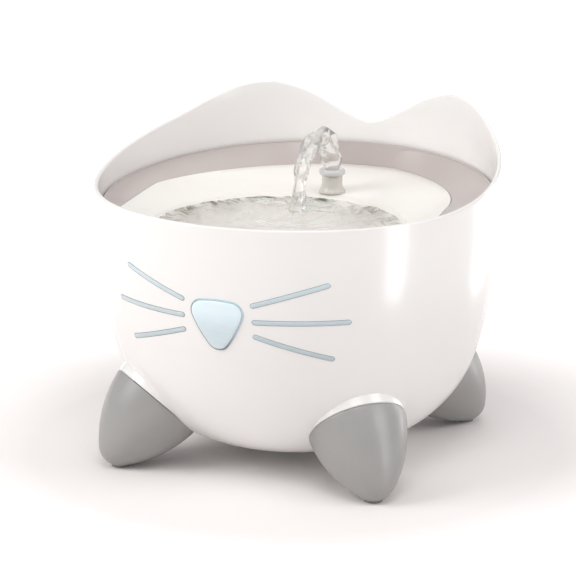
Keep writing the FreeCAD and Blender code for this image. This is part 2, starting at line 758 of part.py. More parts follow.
def dish_floor_sheet():
    """Cream floor between the dish's edge and the pool's rim, as one ruled sheet."""
    gap = number(dim("dish_gap"))
    middle_y = -number(dim("pool_offset"))
    pool = number(dim("pool_radius")) - 0.5
    rim = number(dim("pool_rim_height"))
    count = round(360.0 / DISH_STEP)
    edge = ring_points(count, lambda a: dish_edge_radius(a, gap),
                       lambda x, y, a: dish_edge_height(y), middle_y)
    lip = ring_points(count, lambda a: pool, lambda x, y, a: rim - 0.2, middle_y)
    face = Part.makeRuledSurface(closed_curve(lip), closed_curve(edge))
    return face.extrude(Vector(0, 0, -number(dim("dish_sheet"))))


def make_dish():
    """Cream dish: sloping floor, round pool, front overflow slots, funnel and hooks."""
    sheet_wall = dim("dish_sheet")
    pool = dim("pool_radius")
    rim = dim("pool_rim_height")
    floor_radius = dim("pool_floor_radius")
    floor_top = dim("pool_floor_height")
    arc = dim("pool_side_arc")
    offset = dim("pool_offset")
    bowl = revolved("pool_bowl", [
        (0.0, floor_top - sheet_wall), (floor_radius, floor_top - sheet_wall),
        (pool + 1.2, rim - sheet_wall, arc + sheet_wall), (pool, rim),
        (floor_radius, floor_top, -arc), (0.0, floor_top)])
    moved(bowl, y=-offset)
    floor = feature("dish_floor", dish_floor_sheet())
    funnel = ring_sector("drain_funnel", [(83.0, 137.5), (85.0, 137.5), (85.0, 143.5),
                                          (83.0, 143.5)], -90.0, 100.0)
    chute = ring_sector("drain_chute", [(65.5, 125.6), (84.0, 136.6), (84.0, 138.8),
                                        (65.5, 127.8)], -90.0, 100.0)
    hooks = []
    for index, angle in enumerate(HOOK_ANGLES):
        inner = number(dim("hook_inner"))
        back = inner + number(dim("hook_wall"))
        low = number(dim("basket_top")) - number(dim("lug_height")) - 2.25
        hooks.append(ring_sector("hook_%d" % index, [
            (inner - 2.6, low), (back, low), (back, 137.4), (inner, 137.4),
            (inner, low + 2.2), (inner - 2.6, low + 2.2)], angle, 18.0))
    solid = fuse("dish_solid", bowl, floor, funnel, chute, *hooks)
    slots = []
    first = -90.0 - SLOT_PITCH * (FRONT_SLOTS - 1) / 2
    for index in range(FRONT_SLOTS):
        slots.append(ring_sector("overflow_slot_%d" % index, [
            (75.5, 139.0), (79.0, 139.0), (79.0, 160.0), (75.5, 160.0)],
            first + SLOT_PITCH * index, SLOT_SPAN))
    stem = dim("stem_radius") + 0.1
    foot = dim("stem_foot") + 0.1
    hole = revolved("stem_hole", [
        (0.0, rim - 19.0), (foot + 2.0, rim - 19.0), (foot + 2.0, rim - 1.15),
        (stem, rim - 1.15), (stem, rim + 0.95), (foot, rim + 0.95), (foot, rim + 16.0),
        (0.0, rim + 16.0)])
    moved(hole, y=dim("spout_offset"))
    node("drinking_dish", cut("drinking_dish", solid, hole, *slots, apart=True))


def ring_sector(name, path, middle_angle, span):
    """Part of a ring about the pool's axis, span degrees wide."""
    body = new_body(name)
    sketch = outline(body, "XZ_Plane", name + "_profile", path)
    turn = body.newObject("PartDesign::Revolution", name + "_turn")
    turn.Profile = sketch
    turn.ReferenceAxis = (sketch, ["V_Axis"])
    turn.Angle = span
    turn.Midplane = True
    body.Tip = turn
    return moved(body, y=-dim("pool_offset"), rotation=Rotation(Z_AXIS, middle_angle))


def make_spout():
    """Stem through the dish, with a flange under it, and the glossy nozzle on top."""
    bore = dim("stem_bore")
    stem = dim("stem_radius")
    foot = dim("stem_foot")
    floor = dim("pool_rim_height")
    body = revolved("spout_stem", [
        (bore, floor - 16.0), (stem, floor - 16.0), (stem, floor - 3.0), (foot + 2.0, floor - 3.0),
        (foot + 2.0, floor - 1.2), (stem, floor - 1.2), (stem, floor + 1.0),
        (foot, floor + 1.0), (stem, floor + 6.0, -8.0), (stem, dim("stem_top")),
        (bore, dim("stem_top"))])
    node("spout_stem", moved(body, y=dim("spout_offset")))
    nozzle = dim("nozzle_radius")
    top = dim("nozzle_top")
    opening = dim("nozzle_bore")
    ring = revolved("spout_nozzle_ring", [
        (opening, dim("stem_top")), (nozzle - 0.8, dim("stem_top")),
        (nozzle, dim("stem_top") + 1.2, 1.4), (nozzle, top - 1.6),
        (nozzle - 1.6, top, 1.6), (opening + 0.8, top), (opening, top - 0.8, 0.8)])
    node("spout_nozzle", moved(ring, y=dim("spout_offset")))


def make_filter():
    """Basket with bayonet lugs, felt pad, carbon pack and slotted lid."""
    offset = dim("pool_offset")
    basket_wall = dim("basket_wall")
    radius = dim("basket_radius")
    low = dim("basket_floor")
    top = dim("basket_top")
    basket = revolved("basket_cup", [
        (0.0, low), (radius - 6.0, low), (radius, low + 6.0, 6.0), (radius, top),
        (radius - basket_wall, top), (radius - basket_wall, low + 6.0),
        (radius - 6.0, low + basket_wall, -4.2), (0.0, low + basket_wall)])
    slot_tools = basket_slots("basket", number(low) - 1.0, 4.0)
    moved(basket, y=-offset)
    lugs = [ring_sector("lug_%d" % index, [
        (60.0, number(top) - 2.0), (61.0 + number(dim("lug_reach")), number(top) - 2.0),
        (61.0 + number(dim("lug_reach")), number(top)), (60.0, number(top))], angle, 16.0)
        for index, angle in enumerate(HOOK_ANGLES)]
    whole = fuse("basket_whole", basket, *lugs)
    node("filter_basket", cut("filter_basket", whole, *slot_tools, apart=True))
    pad_radius = radius - basket_wall - 0.6
    felt_low = low + basket_wall
    felt = cylinder("felt_pad", pad_radius - 3.2, dim("felt_thickness"), y=-offset, z=felt_low)
    node("felt_pad", felt)
    carbon_low = felt_low + dim("felt_thickness")
    carbon = revolved("carbon_pack", [
        (0.0, 0.0), (pad_radius - 5.0, 0.0), (pad_radius, 4.0, 8.0),
        (pad_radius, dim("carbon_thickness") - 4.0),
        (pad_radius - 5.0, dim("carbon_thickness"), 8.0), (0.0, dim("carbon_thickness"))])
    node("carbon_pack", moved(carbon, y=-offset, z=carbon_low))
    lid_low = carbon_low + dim("carbon_thickness")
    lid = cylinder("lid_disc", pad_radius, dim("lid_thickness"), y=-offset, z=lid_low)
    grip = cylinder("lid_grip", 4.0, 1.6, y=-offset, z=lid_low + dim("lid_thickness"))
    lid_tools = basket_slots("lid", number(lid_low) - 1.0, 5.0)
    node("filter_lid", cut("filter_lid", fuse("lid_whole", lid, grip), *lid_tools,
                           apart=True))


def basket_slots(name, low, depth):
    """Two rings of curved water slots."""
    tools = []
    for ring, (inner, outer, count) in enumerate(((18.0, 28.0, 6), (36.0, 48.0, 10))):
        for index in range(count):
            tools.append(ring_sector("%s_slot_%d_%d" % (name, ring, index), [
                (inner, low), (outer, low), (outer, low + depth), (inner, low + depth)],
                360.0 / count * index, 360.0 / count * 0.62))
    return tools


def make_pump():
    """Pump lying on four cups, with its outlet up and its intake facing the back."""
    width = number(dim("pump_width"))
    height = number(dim("pump_height"))
    middle = number(dim("pump_bottom")) + height / 2
    chamber = number(dim("chamber_length"))
    outlet_y = number(dim("spout_offset"))
    chamber_end = outlet_y + chamber / 2
    motor_start = chamber_end - chamber - number(dim("motor_length"))
    block = padded("pump_block", "XZ_Plane", rounded_plate(width, height, 4.0),
                   dim("motor_length") + dim("chamber_length"))
    moved(block, y=chamber_end, z=middle)
    outlet = cylinder("pump_outlet", 5.4, 8.0, y=dim("spout_offset"), z=middle + height / 2 - 1)
    turn_in = Rotation(X_AXIS, 90.0)
    swirl = cylinder("pump_chamber", dim("chamber_radius"), chamber - 1.0, y=chamber_end,
                     z=middle, rotation=turn_in)
    well = cylinder("rotor_well", dim("rotor_well"), chamber_end - motor_start - 4.0,
                    y=chamber_end, z=middle, rotation=turn_in)
    shaft_seat = cylinder("shaft_seat", dim("shaft_radius"), chamber_end - motor_start - 2.0,
                          y=chamber_end, z=middle, rotation=turn_in)
    throat = cylinder("outlet_bore", dim("riser_bore"), 30.0, y=dim("spout_offset"), z=middle)
    body = cut("pump_body", fuse("pump_shell", block, outlet), swirl, well, shaft_seat, throat)
    node("pump_body", body)
    shaft = cylinder("pump_shaft", dim("shaft_radius"), chamber_end - motor_start - 0.8,
                     y=chamber_end + 1.2, z=middle, rotation=turn_in)
    node("pump_shaft", shaft)
    make_impeller(middle, chamber_end, motor_start)
    make_intake(middle, chamber_end, width, height)
    cups = []
    for index, (sx, sy) in enumerate(((1, 1), (1, -1), (-1, 1), (-1, -1))):
        cup_radius = dim("cup_radius")
        cup = revolved("suction_cup_%d" % index, [
            (0.0, 2.4), (cup_radius - 1.0, 0.0), (cup_radius, 0.0),
            (cup_radius - 2.6, 2.6, -4.0), (2.6, 5.0, -4.0), (0.0, 5.0)])
        cups.append(moved(cup, x=sx * 11.5, y=dim("seat_offset") + sy * 11.0,
                          z=dim("seat_height")))
    node("suction_cups", group("suction_cups", cups))
    riser_low = middle + height / 2 + 7.0
    riser = revolved("riser_tube", [
        (5.45, riser_low - 5.0), (7.2, riser_low - 5.0), (7.2, riser_low + 2.0),
        (dim("riser_radius"), riser_low + 6.0), (dim("riser_radius"), dim("riser_top")),
        (dim("riser_bore"), dim("riser_top")), (dim("riser_bore"), riser_low + 0.2),
        (5.45, riser_low + 0.2)])
    node("riser_tube", moved(riser, y=dim("spout_offset")))


def make_impeller(middle, chamber_end, motor_start):
    """Magnet rotor with a disc and straight vanes, running on the fixed shaft."""
    bore = dim("shaft_radius") + dim("shaft_clearance")
    rotor = dim("rotor_radius")
    length = chamber_end - motor_start
    body = revolved("impeller", [
        (bore, 1.2), (3.4, 1.2), (3.4, 7.2), (11.0, 7.2), (11.0, 8.4), (rotor, 8.4),
        (rotor, length - 5.4), (rotor - 0.8, length - 4.6), (bore, length - 4.6)])
    doc.recompute()
    vane = body.newObject("Sketcher::SketchObject", "vane_outline")
    vane.AttachmentSupport = [(origin_plane(body, "XY_Plane"), "")]
    vane.MapMode = "FlatFace"
    vane.AttachmentOffset = Placement(Vector(0, 0, 1.8), Rotation())
    draw(vane, [(2.8, -0.6), (10.6, -0.6, -22.0), (10.6, 0.7), (2.8, 0.7, 22.0)])
    pad = body.newObject("PartDesign::Pad", "vane")
    pad.Profile = vane
    pad.Length = 5.6
    body.Tip = pad
    doc.recompute()
    patterned(body, pad, "vanes", VANES)
    node("impeller", moved(body, y=chamber_end, z=middle, rotation=Rotation(X_AXIS, 90.0)))


def make_intake(middle, chamber_end, width, height):
    """Slotted intake cover with rails, and the shutter that slides across its slots."""
    thickness = number(dim("cover_thickness"))
    face = chamber_end + thickness
    plate = padded("intake_plate", "XZ_Plane", rounded_plate(width, height, 4.0),
                   dim("cover_thickness"))
    moved(plate, y=face, z=middle)
    rails = []
    for index, side in enumerate((1, -1)):
        rail_z = middle + side * (height / 2 - 3.0)
        rails.append(box("rail_%d" % index, width - 10.0, 3.6, 2.0, y=face + 1.4,
                         z=rail_z - 1.0))
        rails.append(box("rail_lip_%d" % index, width - 10.0, 1.2, 3.4, y=face + 2.8,
                         z=rail_z - 1.0 if side < 0 else rail_z - 2.4))
    slots = grille_slots("intake", middle, face - 6.0, 14.0)
    seat = cylinder("cover_shaft_seat", dim("shaft_radius"), 6.0, y=chamber_end + 1.2,
                    z=middle, rotation=Rotation(X_AXIS, 90.0))
    boss = cylinder("cover_boss", 3.0, 2.2, y=chamber_end + 0.2, z=middle,
                    rotation=Rotation(X_AXIS, -90.0))
    node("intake_cover", cut("intake_cover", fuse("intake_whole", cut(
        "intake_grille", fuse("intake_railed", plate, *rails), *slots), boss), seat))
    shutter = box("shutter_plate", 27.0, 1.4, height - 8.8, y=face + 1.0,
                  z=middle - (height - 8.8) / 2)
    tab = box("shutter_tab", 5.0, 4.0, 4.0, x=14.8, y=face + 2.3, z=middle - 2.0)
    shutter_slots = grille_slots("shutter", middle, face - 2.0, 6.0)
    node("flow_shutter", cut("flow_shutter", fuse("shutter_whole", shutter, tab),
                             *shutter_slots))


def grille_slots(name, middle, start_y, depth):
    return [box("%s_slot_%d" % (name, index), 2.4, depth, 14.0, x=shift,
                y=start_y + depth / 2, z=middle - 7.0)
            for index, shift in enumerate(GRILLE_SLOTS)]


def make_power_inlet():
    """Low-voltage jack in its blind boss, with contact pin and a dust seal."""
    face = dim("inlet_face")
    height = dim("inlet_height")
    radius = dim("jack_radius")
    body = revolved("jack_barrel", [
        (dim("jack_pin"), 0.0), (radius, 0.0), (radius, dim("jack_depth")),
        (radius + 2.0, dim("jack_depth") + 0.0), (radius + 2.0, dim("jack_depth") + 1.6),
        (radius + 1.2, dim("jack_depth") + 2.4), (dim("jack_bore"), dim("jack_depth") + 2.4),
        (dim("jack_bore"), 2.0), (dim("jack_pin"), 2.0)])
    turn = Rotation(X_AXIS, -90.0)
    node("power_jack", moved(body, y=face - dim("jack_depth"), z=height, rotation=turn))
    pin = cylinder("jack_pin", dim("jack_pin"), dim("jack_depth") + 0.6,
                   y=face - dim("jack_depth"), z=height, rotation=turn)
    node("jack_pin", pin)


make_shell()
make_feet()
make_light_pod()
make_surround()
make_dish()
make_spout()
make_filter()
make_pump()
make_power_inlet()
doc.recompute()

faults = [thing.Name + " " + ",".join(thing.State) for thing in doc.Objects
          if "Invalid" in thing.State or "Error" in thing.State]
for name, thing in NODES.items():
    shape = thing.Shape
    if shape.isNull() or not shape.isValid() or not shape.Solids:
        faults.append(name + " has no valid solid")
if faults:
    raise ValueError("; ".join(faults))

os.makedirs("parts", exist_ok=True)
for name, thing in NODES.items():
    thing.Shape.exportStep(os.path.join("parts", name + ".step"))
    bounds = thing.Shape.optimalBoundingBox(False)
    print("%-22s solids %d volume %9.0f  x %7.2f %7.2f  y %7.2f %7.2f  z %7.2f %7.2f" % (
        name, len(thing.Shape.Solids), thing.Shape.Volume, bounds.XMin, bounds.XMax,
        bounds.YMin, bounds.YMax, bounds.ZMin, bounds.ZMax))
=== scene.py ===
"""Pet water fountain dressed for the camera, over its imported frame.

The file is laid out as an add-on and run as a script. Each operator makes one piece or one
group of like pieces. Helpers take millimetres, and the meshes are in metres.
The origin is on the table under the bowl's axis, +Z is up and the face looks towards -Y.
"""
import math
import random

import bmesh
import bpy
from mathutils import Matrix, Vector, noise


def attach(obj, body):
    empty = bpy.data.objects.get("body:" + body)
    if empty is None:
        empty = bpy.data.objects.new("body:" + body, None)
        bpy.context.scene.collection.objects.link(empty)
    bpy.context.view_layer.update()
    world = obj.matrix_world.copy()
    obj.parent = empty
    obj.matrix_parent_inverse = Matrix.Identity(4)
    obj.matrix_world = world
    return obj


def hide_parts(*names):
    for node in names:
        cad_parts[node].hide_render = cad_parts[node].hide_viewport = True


bl_info = {
    "name": "Pet Water Fountain",
    "version": (1, 0, 0),
    "blender": (4, 5, 0),
    "location": "3D View > Sidebar > Fountain",
    "description": "Makes the shell, feet, face, tray, spout and water of a pet fountain",
    "category": "Object",
}

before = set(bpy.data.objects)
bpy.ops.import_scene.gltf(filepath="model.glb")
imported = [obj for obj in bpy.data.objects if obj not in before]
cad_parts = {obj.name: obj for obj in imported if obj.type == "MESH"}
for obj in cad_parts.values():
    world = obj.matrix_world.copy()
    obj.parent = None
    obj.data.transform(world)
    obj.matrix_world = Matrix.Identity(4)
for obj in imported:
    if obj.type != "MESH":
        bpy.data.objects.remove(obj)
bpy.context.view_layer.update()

MM = 0.001

# The bowl's skin in millimetres: upright top, side arc, under arc and flat underside
SHOULDER = 150.0
SIDE_ARC = 300.0
UNDER_ARC = 75.9
UNDER_ARC_REACH = 35.64
UNDERSIDE = 9.7
SIDE_LEAN = math.asin((SHOULDER - 63.8) / SIDE_ARC)

# Height of the rim against the angle from the back: dip, ear, cheek and level front
RIM_HEIGHTS = ((0.0, 177.5), (9.0, 184.0), (19.0, 195.0), (28.0, 201.2), (33.0, 202.0),
               (40.0, 200.0), (48.0, 194.6), (60.0, 185.4), (76.0, 176.6), (95.0, 168.6),
               (112.0, 164.3), (130.0, 163.0), (155.0, 163.0), (180.0, 163.0))

FOOT_ANGLES = {"foot_front_right": -45.0, "foot_front_left": -135.0,
               "foot_rear_left": 135.0, "foot_rear_right": 45.0}
FOOT_REACH = 90.2
FOOT_HEIGHT = 37.8
FOOT_TILT = math.radians(46.5)
FOOT_BASE = 29.2
COLLAR_DEPTH = 26.0
COLLAR_FLARE = 2.4
FOOT_FLAT = 0.8

# Whiskers in the front view: inner end and outer end as x and z
WHISKERS = {"upper": ((21.6, 118.9), (61.0, 131.2)), "middle": ((22.0, 109.0), (70.2, 109.0)),
            "lower": ((22.0, 100.2), (61.0, 87.0))}

POOL_Y = -30.0
POOL_RADIUS = 73.0
POOL_RIM = 144.0
POOL_FLOOR = 129.5
POOL_FLOOR_RADIUS = 50.0
POOL_SIDE_ARC = 34.0
SPOUT_Y = 56.0
LEDGE = 134.0
SEAT_Y = 45.0
SEAT_RADIUS = 24.0
SEAT_TOP = 22.0
INLET_HEIGHT = 54.0
SKIRT_OUTER = 117.4
SKIRT_INNER = 115.4
CRESCENT_SPAN = 251.0
DISH_THICKNESS = 2.0
SLOT_PITCH = 12.0
SLOT_SPAN = 9.0
SLOT_REACH = 41.0
HOOK_ANGLES = (90.0, 210.0, 330.0)
HOOK_BOTTOM = 117.75

# Stepped hole in the dish for the stem: radius and height
STEM_HOLE = ((0.0, 125.0), (10.2, 125.0), (10.2, 142.85), (6.5, 142.85), (6.5, 144.95),
             (8.2, 144.95), (8.2, 160.0), (0.0, 160.0))

# Middle line of the jet in the plane x = 0: y, z and radius
JET_LINE = ((56.0, 157.5, 3.9), (55.6, 160.6, 4.8), (54.6, 165.0, 6.2), (52.6, 171.0, 6.6),
            (48.4, 177.4, 6.3), (41.0, 182.4, 5.6), (31.5, 184.0, 5.2), (22.0, 181.6, 4.9),
            (13.5, 176.0, 4.6), (7.2, 168.6, 4.3), (3.4, 160.0, 4.1), (1.6, 151.6, 4.4),
            (1.0, 144.4, 5.2))
LANDING_Y = 1.0
DROP_COUNT = 16


def size_prop(name, text, default, low, high):
    """A length shown in the panel, in metres."""
    return bpy.props.FloatProperty(
        name=name, description=text, default=default, min=low, max=high, unit="LENGTH")


def colour_prop(name, text, default):
    """A colour shown in the panel."""
    return bpy.props.FloatVectorProperty(name=name, description=text, subtype="COLOR", size=3,
                                         default=default, min=0.0, max=1.0)


class FountainSizes(bpy.types.PropertyGroup):
    """Sizes that shape the pieces."""
    bowl_radius: size_prop("Bowl Radius", "Outer radius of the bowl's upright top",
                           0.121, 0.05, 0.3)
    wall: size_prop("Wall", "Thickness of the bowl's wall", 0.0026, 0.001, 0.006)
    nose_proud: size_prop("Nose Height", "How far the nose stands out of the bowl",
                          0.0015, 0.0, 0.003)
    whisker_width: size_prop("Whisker Width", "Width of each whisker bar", 0.0025, 0.001, 0.006)
    water_level: size_prop("Water Level", "Height of the still water", 0.1434, 0.131, 0.1439)
    ripple: size_prop("Ripple Height", "Height of the rings round the jet's foot",
                      0.0016, 0.0, 0.003)


class FountainColours(bpy.types.PropertyGroup):
    """Colours of the finishes."""
    shell: colour_prop("Shell", "Glossy white of the bowl", (0.93, 0.915, 0.905))
    feet: colour_prop("Feet", "Satin grey of the feet", (0.36, 0.355, 0.35))
    face: colour_prop("Face", "Pale blue of the nose window", (0.66, 0.77, 0.83))
    whiskers: colour_prop("Whiskers", "Blue grey of the whisker bars", (0.55, 0.635, 0.675))
    outline: colour_prop("Face Outline", "Dark line round the nose and whiskers",
                         (0.22, 0.27, 0.29))
    surround: colour_prop("Surround", "Warm grey of the band round the dish", (0.53, 0.475, 0.46))
    dish: colour_prop("Dish", "Cream of the drinking dish", (0.93, 0.905, 0.865))
    nozzle: colour_prop("Nozzle", "Light grey of the ring on the spout", (0.62, 0.63, 0.63))


# Shape helpers

def rim_height(angle):
    """Height of the eared rim at an angle from +X, by a smooth curve through RIM_HEIGHTS."""
    from_back = abs((math.degrees(angle) - 90.0 + 180.0) % 360.0 - 180.0)
    index = max(i for i in range(len(RIM_HEIGHTS) - 1) if RIM_HEIGHTS[i][0] <= from_back)
    a0, h0 = RIM_HEIGHTS[index]
    a1, h1 = RIM_HEIGHTS[index + 1]
    slope0 = 0.0
    if index > 0:
        a_before, h_before = RIM_HEIGHTS[index - 1]
        slope0 = (h1 - h_before) / (a1 - a_before)
    slope1 = 0.0
    if index + 2 < len(RIM_HEIGHTS):
        a_after, h_after = RIM_HEIGHTS[index + 2]
        slope1 = (h_after - h0) / (a_after - a0)
    span = a1 - a0
    u = (from_back - a0) / span
    return ((2 * u ** 3 - 3 * u ** 2 + 1) * h0 + (u ** 3 - 2 * u ** 2 + u) * span * slope0
            + (3 * u ** 2 - 2 * u ** 3) * h1 + (u ** 3 - u ** 2) * span * slope1)


def skin_radius(height, radius):
    """Radius of the bowl's skin at a height on its side arc or above."""
    drop = max(SHOULDER - height, 0.0)
    return radius - SIDE_ARC + math.sqrt(SIDE_ARC ** 2 - drop ** 2)


def outside_skin(point, radius):
    """Distance of a point from the bowl's skin, positive outside it."""
    reach = math.hypot(point.x, point.y)
    if point.z >= SHOULDER:
        return reach - radius
    side_x = radius - SIDE_ARC
    if math.atan2(SHOULDER - point.z, reach - side_x) <= SIDE_LEAN:
        return math.hypot(reach - side_x, point.z - SHOULDER) - SIDE_ARC
    if reach < UNDER_ARC_REACH:
        return UNDERSIDE - point.z
    return math.hypot(reach - UNDER_ARC_REACH, point.z - UNDERSIDE - UNDER_ARC) - UNDER_ARC


def on_face(x, z, proud, radius):
    """A point in front of the bowl's skin at x and z of the front view, proud of it."""
    lean = math.asin(max(SHOULDER - z, 0.0) / SIDE_ARC)
    reach = skin_radius(z, radius)
    y = -math.sqrt(reach * reach - x * x)
    out = Vector((x / reach * math.cos(lean), y / reach * math.cos(lean), -math.sin(lean)))
    return Vector((x, y, z)) + out * proud


def arc(centre, radius, start, end, count):
    """Points of an arc in a profile plane, from start to end in degrees, both included."""
    points = []
    for step in range(count + 1):
        angle = math.radians(start + (end - start) * step / count)
        points.append((centre[0] + radius * math.cos(angle), centre[1] + radius * math.sin(angle)))
    return points


def straight(start, end, count):
    """Points of a straight run, without its first point."""
    return [(start[0] + (end[0] - start[0]) * step / count,
             start[1] + (end[1] - start[1]) * step / count) for step in range(1, count + 1)]


def mesh_piece(name, bm, finishes, body, nodes=(), crease=35.0):
    """Turn a mesh in millimetres into a piece with its finishes, riding on a body.

    The mesh is used up. Edges that turn by more than crease, in degrees, stay sharp.
    """
    bmesh.ops.remove_doubles(bm, verts=bm.verts, dist=0.0005)
    bmesh.ops.dissolve_degenerate(bm, edges=bm.edges, dist=0.0001)
    bmesh.ops.recalc_face_normals(bm, faces=bm.faces)
    bmesh.ops.scale(bm, vec=(MM, MM, MM), verts=bm.verts)
    limit = math.radians(crease)
    for face in bm.faces:
        face.smooth = True
    for edge in bm.edges:
        edge.smooth = edge.calc_face_angle(0.0) < limit
    mesh = bpy.data.meshes.new(name)
    bm.to_mesh(mesh)
    bm.free()
    for finish in finishes:
        mesh.materials.append(finish)
    piece = bpy.data.objects.new(name, mesh)
    bpy.context.scene.collection.objects.link(piece)
    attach(piece, body)
    if nodes:
        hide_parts(*nodes)
    return piece


def add_rows(bm, rows, closed_columns=False, finish=0, skip=None):
    """Faces between closed rows of points. Each row is a list of Vectors, all of one length."""
    grid = [[bm.verts.new(point) for point in row] for row in rows]
    row_count = len(grid) if closed_columns else len(grid) - 1
    length = len(grid[0])
    for i in range(row_count):
        below = grid[i]
        above = grid[(i + 1) % len(grid)]
        for j in range(length):
            if skip and skip(i, j):
                continue
            k = (j + 1) % length
            corners = [below[j], below[k], above[k], above[j]]
            face = bm.faces.new(corners)
            face.material_index = finish
    return grid


def lathe_rows(profile, segments, place=None):
    """Rows of a turned shape: one ring of points for each (radius, height) of the profile."""
    rows = []
    for radius, height in profile:
        ring = []
        for step in range(segments):
            angle = 2 * math.pi * step / segments
            ring.append(Vector((radius * math.cos(angle), radius * math.sin(angle), height)))
        if place is not None:
            ring = [place @ point for point in ring]
        rows.append(ring)
    return rows


def turned(bm, profile, segments=96, place=None, closed=False):
    """Add a turned shape to a mesh. A radius of nought closes it on the axis."""
    add_rows(bm, lathe_rows(profile, segments, place), closed_columns=closed)


def sector(bm, profile, middle, span, steps=12):
    """Part of a ring about the pool's axis, from a closed profile of radius and height."""
    rows = []
    for step in range(steps + 1):
        angle = math.radians(middle - span / 2 + span * step / steps)
        rows.append([Vector((r * math.cos(angle), POOL_Y + r * math.sin(angle), z))
                     for r, z in profile])
    grid = add_rows(bm, rows)
    bm.faces.new(grid[0])
    bm.faces.new(list(reversed(grid[-1])))


def cut_out(blank_mesh, cutter_mesh):
    """A new mesh: the blank's solid without the cutter's shape."""
    holders = []
    for name, shape in (("blank", blank_mesh), ("cutter", cutter_mesh)):
        bmesh.ops.remove_doubles(shape, verts=shape.verts, dist=0.0005)
        bmesh.ops.recalc_face_normals(shape, faces=shape.faces)
        mesh = bpy.data.meshes.new(name)
        shape.to_mesh(mesh)
        shape.free()
        holder = bpy.data.objects.new(name, mesh)
        bpy.context.scene.collection.objects.link(holder)
        holders.append(holder)
    blank, cutter = holders
    change = blank.modifiers.new("hole", "BOOLEAN")
    change.operation = "DIFFERENCE"
    change.object = cutter
    bpy.context.view_layer.update()
    result = bmesh.new()
    result.from_object(blank, bpy.context.evaluated_depsgraph_get())
    for holder in holders:
        bpy.data.objects.remove(holder)
    return result


def foot_place(angle):
    """Matrix from a foot's own frame, with +Z out to its tip, to the fountain's frame."""
    turn = Matrix.Rotation(math.radians(angle), 4, "Z")
    tip_down = Matrix.Rotation(math.pi / 2 + FOOT_TILT, 4, "Y")
    return turn @ Matrix.Translation((FOOT_REACH, 0.0, FOOT_HEIGHT)) @ tip_down


def wall_line(y):
    """Height of the surround's top edge, tipped forward."""
    return 154.6 + 0.0855 * y


def dish_edge_height(y):
    """Height of the dish's edge: level with the wall line in front, sunk below it behind."""
    return wall_line(y) - 0.128 * max(y, 0.0)


def circle_hit(dx, dy, cx, cy, radius):
    """Distance along a ray from the pool's axis to the far side of a circle."""
    along = dx * (0 - cx) + dy * (POOL_Y - cy)
    square = cx ** 2 + (POOL_Y - cy) ** 2 - radius ** 2
    return -along + math.sqrt(along ** 2 - square)


def dish_edge_radius(angle, inset=0.0):
    """Distance from the pool's axis to the edge of the dish."""
    dx, dy = math.cos(angle), math.sin(angle)
    half_width = 93.7
    flank = 148.6
    flank_y = -15.4
    hits = [circle_hit(dx, dy, 0.0, 0.0, 115.1 - inset)]
    if abs(dx) > 1e-6:
        hits.append((half_width - inset) / abs(dx))
    flank_x = half_width - flank
    side_hit = circle_hit(dx, dy, flank_x if dx >= 0 else -flank_x, flank_y, flank - inset)
    if POOL_Y + side_hit * dy > flank_y:
        hits.append(side_hit)
    return min(hits)


def triangle_outline(inset, count):
    """The nose's rounded triangle in the front view, drawn in by inset, as evenly spread points."""
    top, half, height, round_off = 120.6, 21.6, 38.0, 7.5 - inset
    side_arc = 70.0 - inset
    slant = math.hypot(half, height)
    low = inset * slant / half
    new_half = half - inset * slant / height - inset * half / height
    corners = (Vector((0.0, top - height + low)), Vector((new_half, top - inset)),
               Vector((-new_half, top - inset)))
    path = []
    for index, here in enumerate(corners):
        back = (corners[index - 1] - here).normalized()
        ahead = (corners[(index + 1) % 3] - here).normalized()
        half_angle = back.angle(ahead) / 2
        centre = here + (back + ahead).normalized() * (round_off / math.sin(half_angle))
        first = here + back * (round_off / math.tan(half_angle)) - centre
        last = here + ahead * (round_off / math.tan(half_angle)) - centre
        start = math.atan2(first.y, first.x)
        sweep = (math.atan2(last.y, last.x) - start) % (2 * math.pi)
        for step in range(17):
            angle = start + sweep * step / 16
            path.append(centre + Vector((math.cos(angle), math.sin(angle))) * round_off)
    full = []
    for index, here in enumerate(path):
        full.append(here)
        ahead = path[(index + 1) % len(path)]
        length = (ahead - here).length
        if length > 6.0:
            out = Vector((ahead.y - here.y, here.x - ahead.x)) / length
            rise = length * length / (8 * side_arc)
            for step in range(1, 24):
                share = step / 24
                full.append(here.lerp(ahead, share) + out * (4 * rise * share * (1 - share)))
    return softened(even_loop(full, count), 4)


def softened(loop, passes):
    """A closed loop with its small kinks eased."""
    for _ in range(passes):
        loop = [(loop[i - 1] + loop[i] * 2 + loop[(i + 1) % len(loop)]) / 4
                for i in range(len(loop))]
    return loop


def even_loop(path, count):
    """A closed path cut into equal steps."""
    lengths = [(path[(i + 1) % len(path)] - path[i]).length for i in range(len(path))]
    total = sum(lengths)
    points = []
    index = 0
    passed = 0.0
    for step in range(count):
        target = total * step / count
        while passed + lengths[index] < target:
            passed += lengths[index]
            index += 1
        along = (target - passed) / lengths[index] if lengths[index] else 0.0
        points.append(path[index].lerp(path[(index + 1) % len(path)], along))
    return points


def smooth_line(points, count):
    """A smooth curve through points of any number of values, cut into equal parameter steps."""
    result = []
    last = len(points) - 1
    for step in range(count + 1):
        place = last * step / count
        index = min(int(place), last - 1)
        u = place - index
        p0 = points[max(index - 1, 0)]
        p1 = points[index]
        p2 = points[index + 1]
        p3 = points[min(index + 2, last)]
        result.append(tuple(0.5 * (2 * b + (c - a) * u + (2 * a - 5 * b + 4 * c - d) * u * u
                                   + (3 * b - a - 3 * c + d) * u ** 3)
                            for a, b, c, d in zip(p0, p1, p2, p3)))
    return result


# Finishes

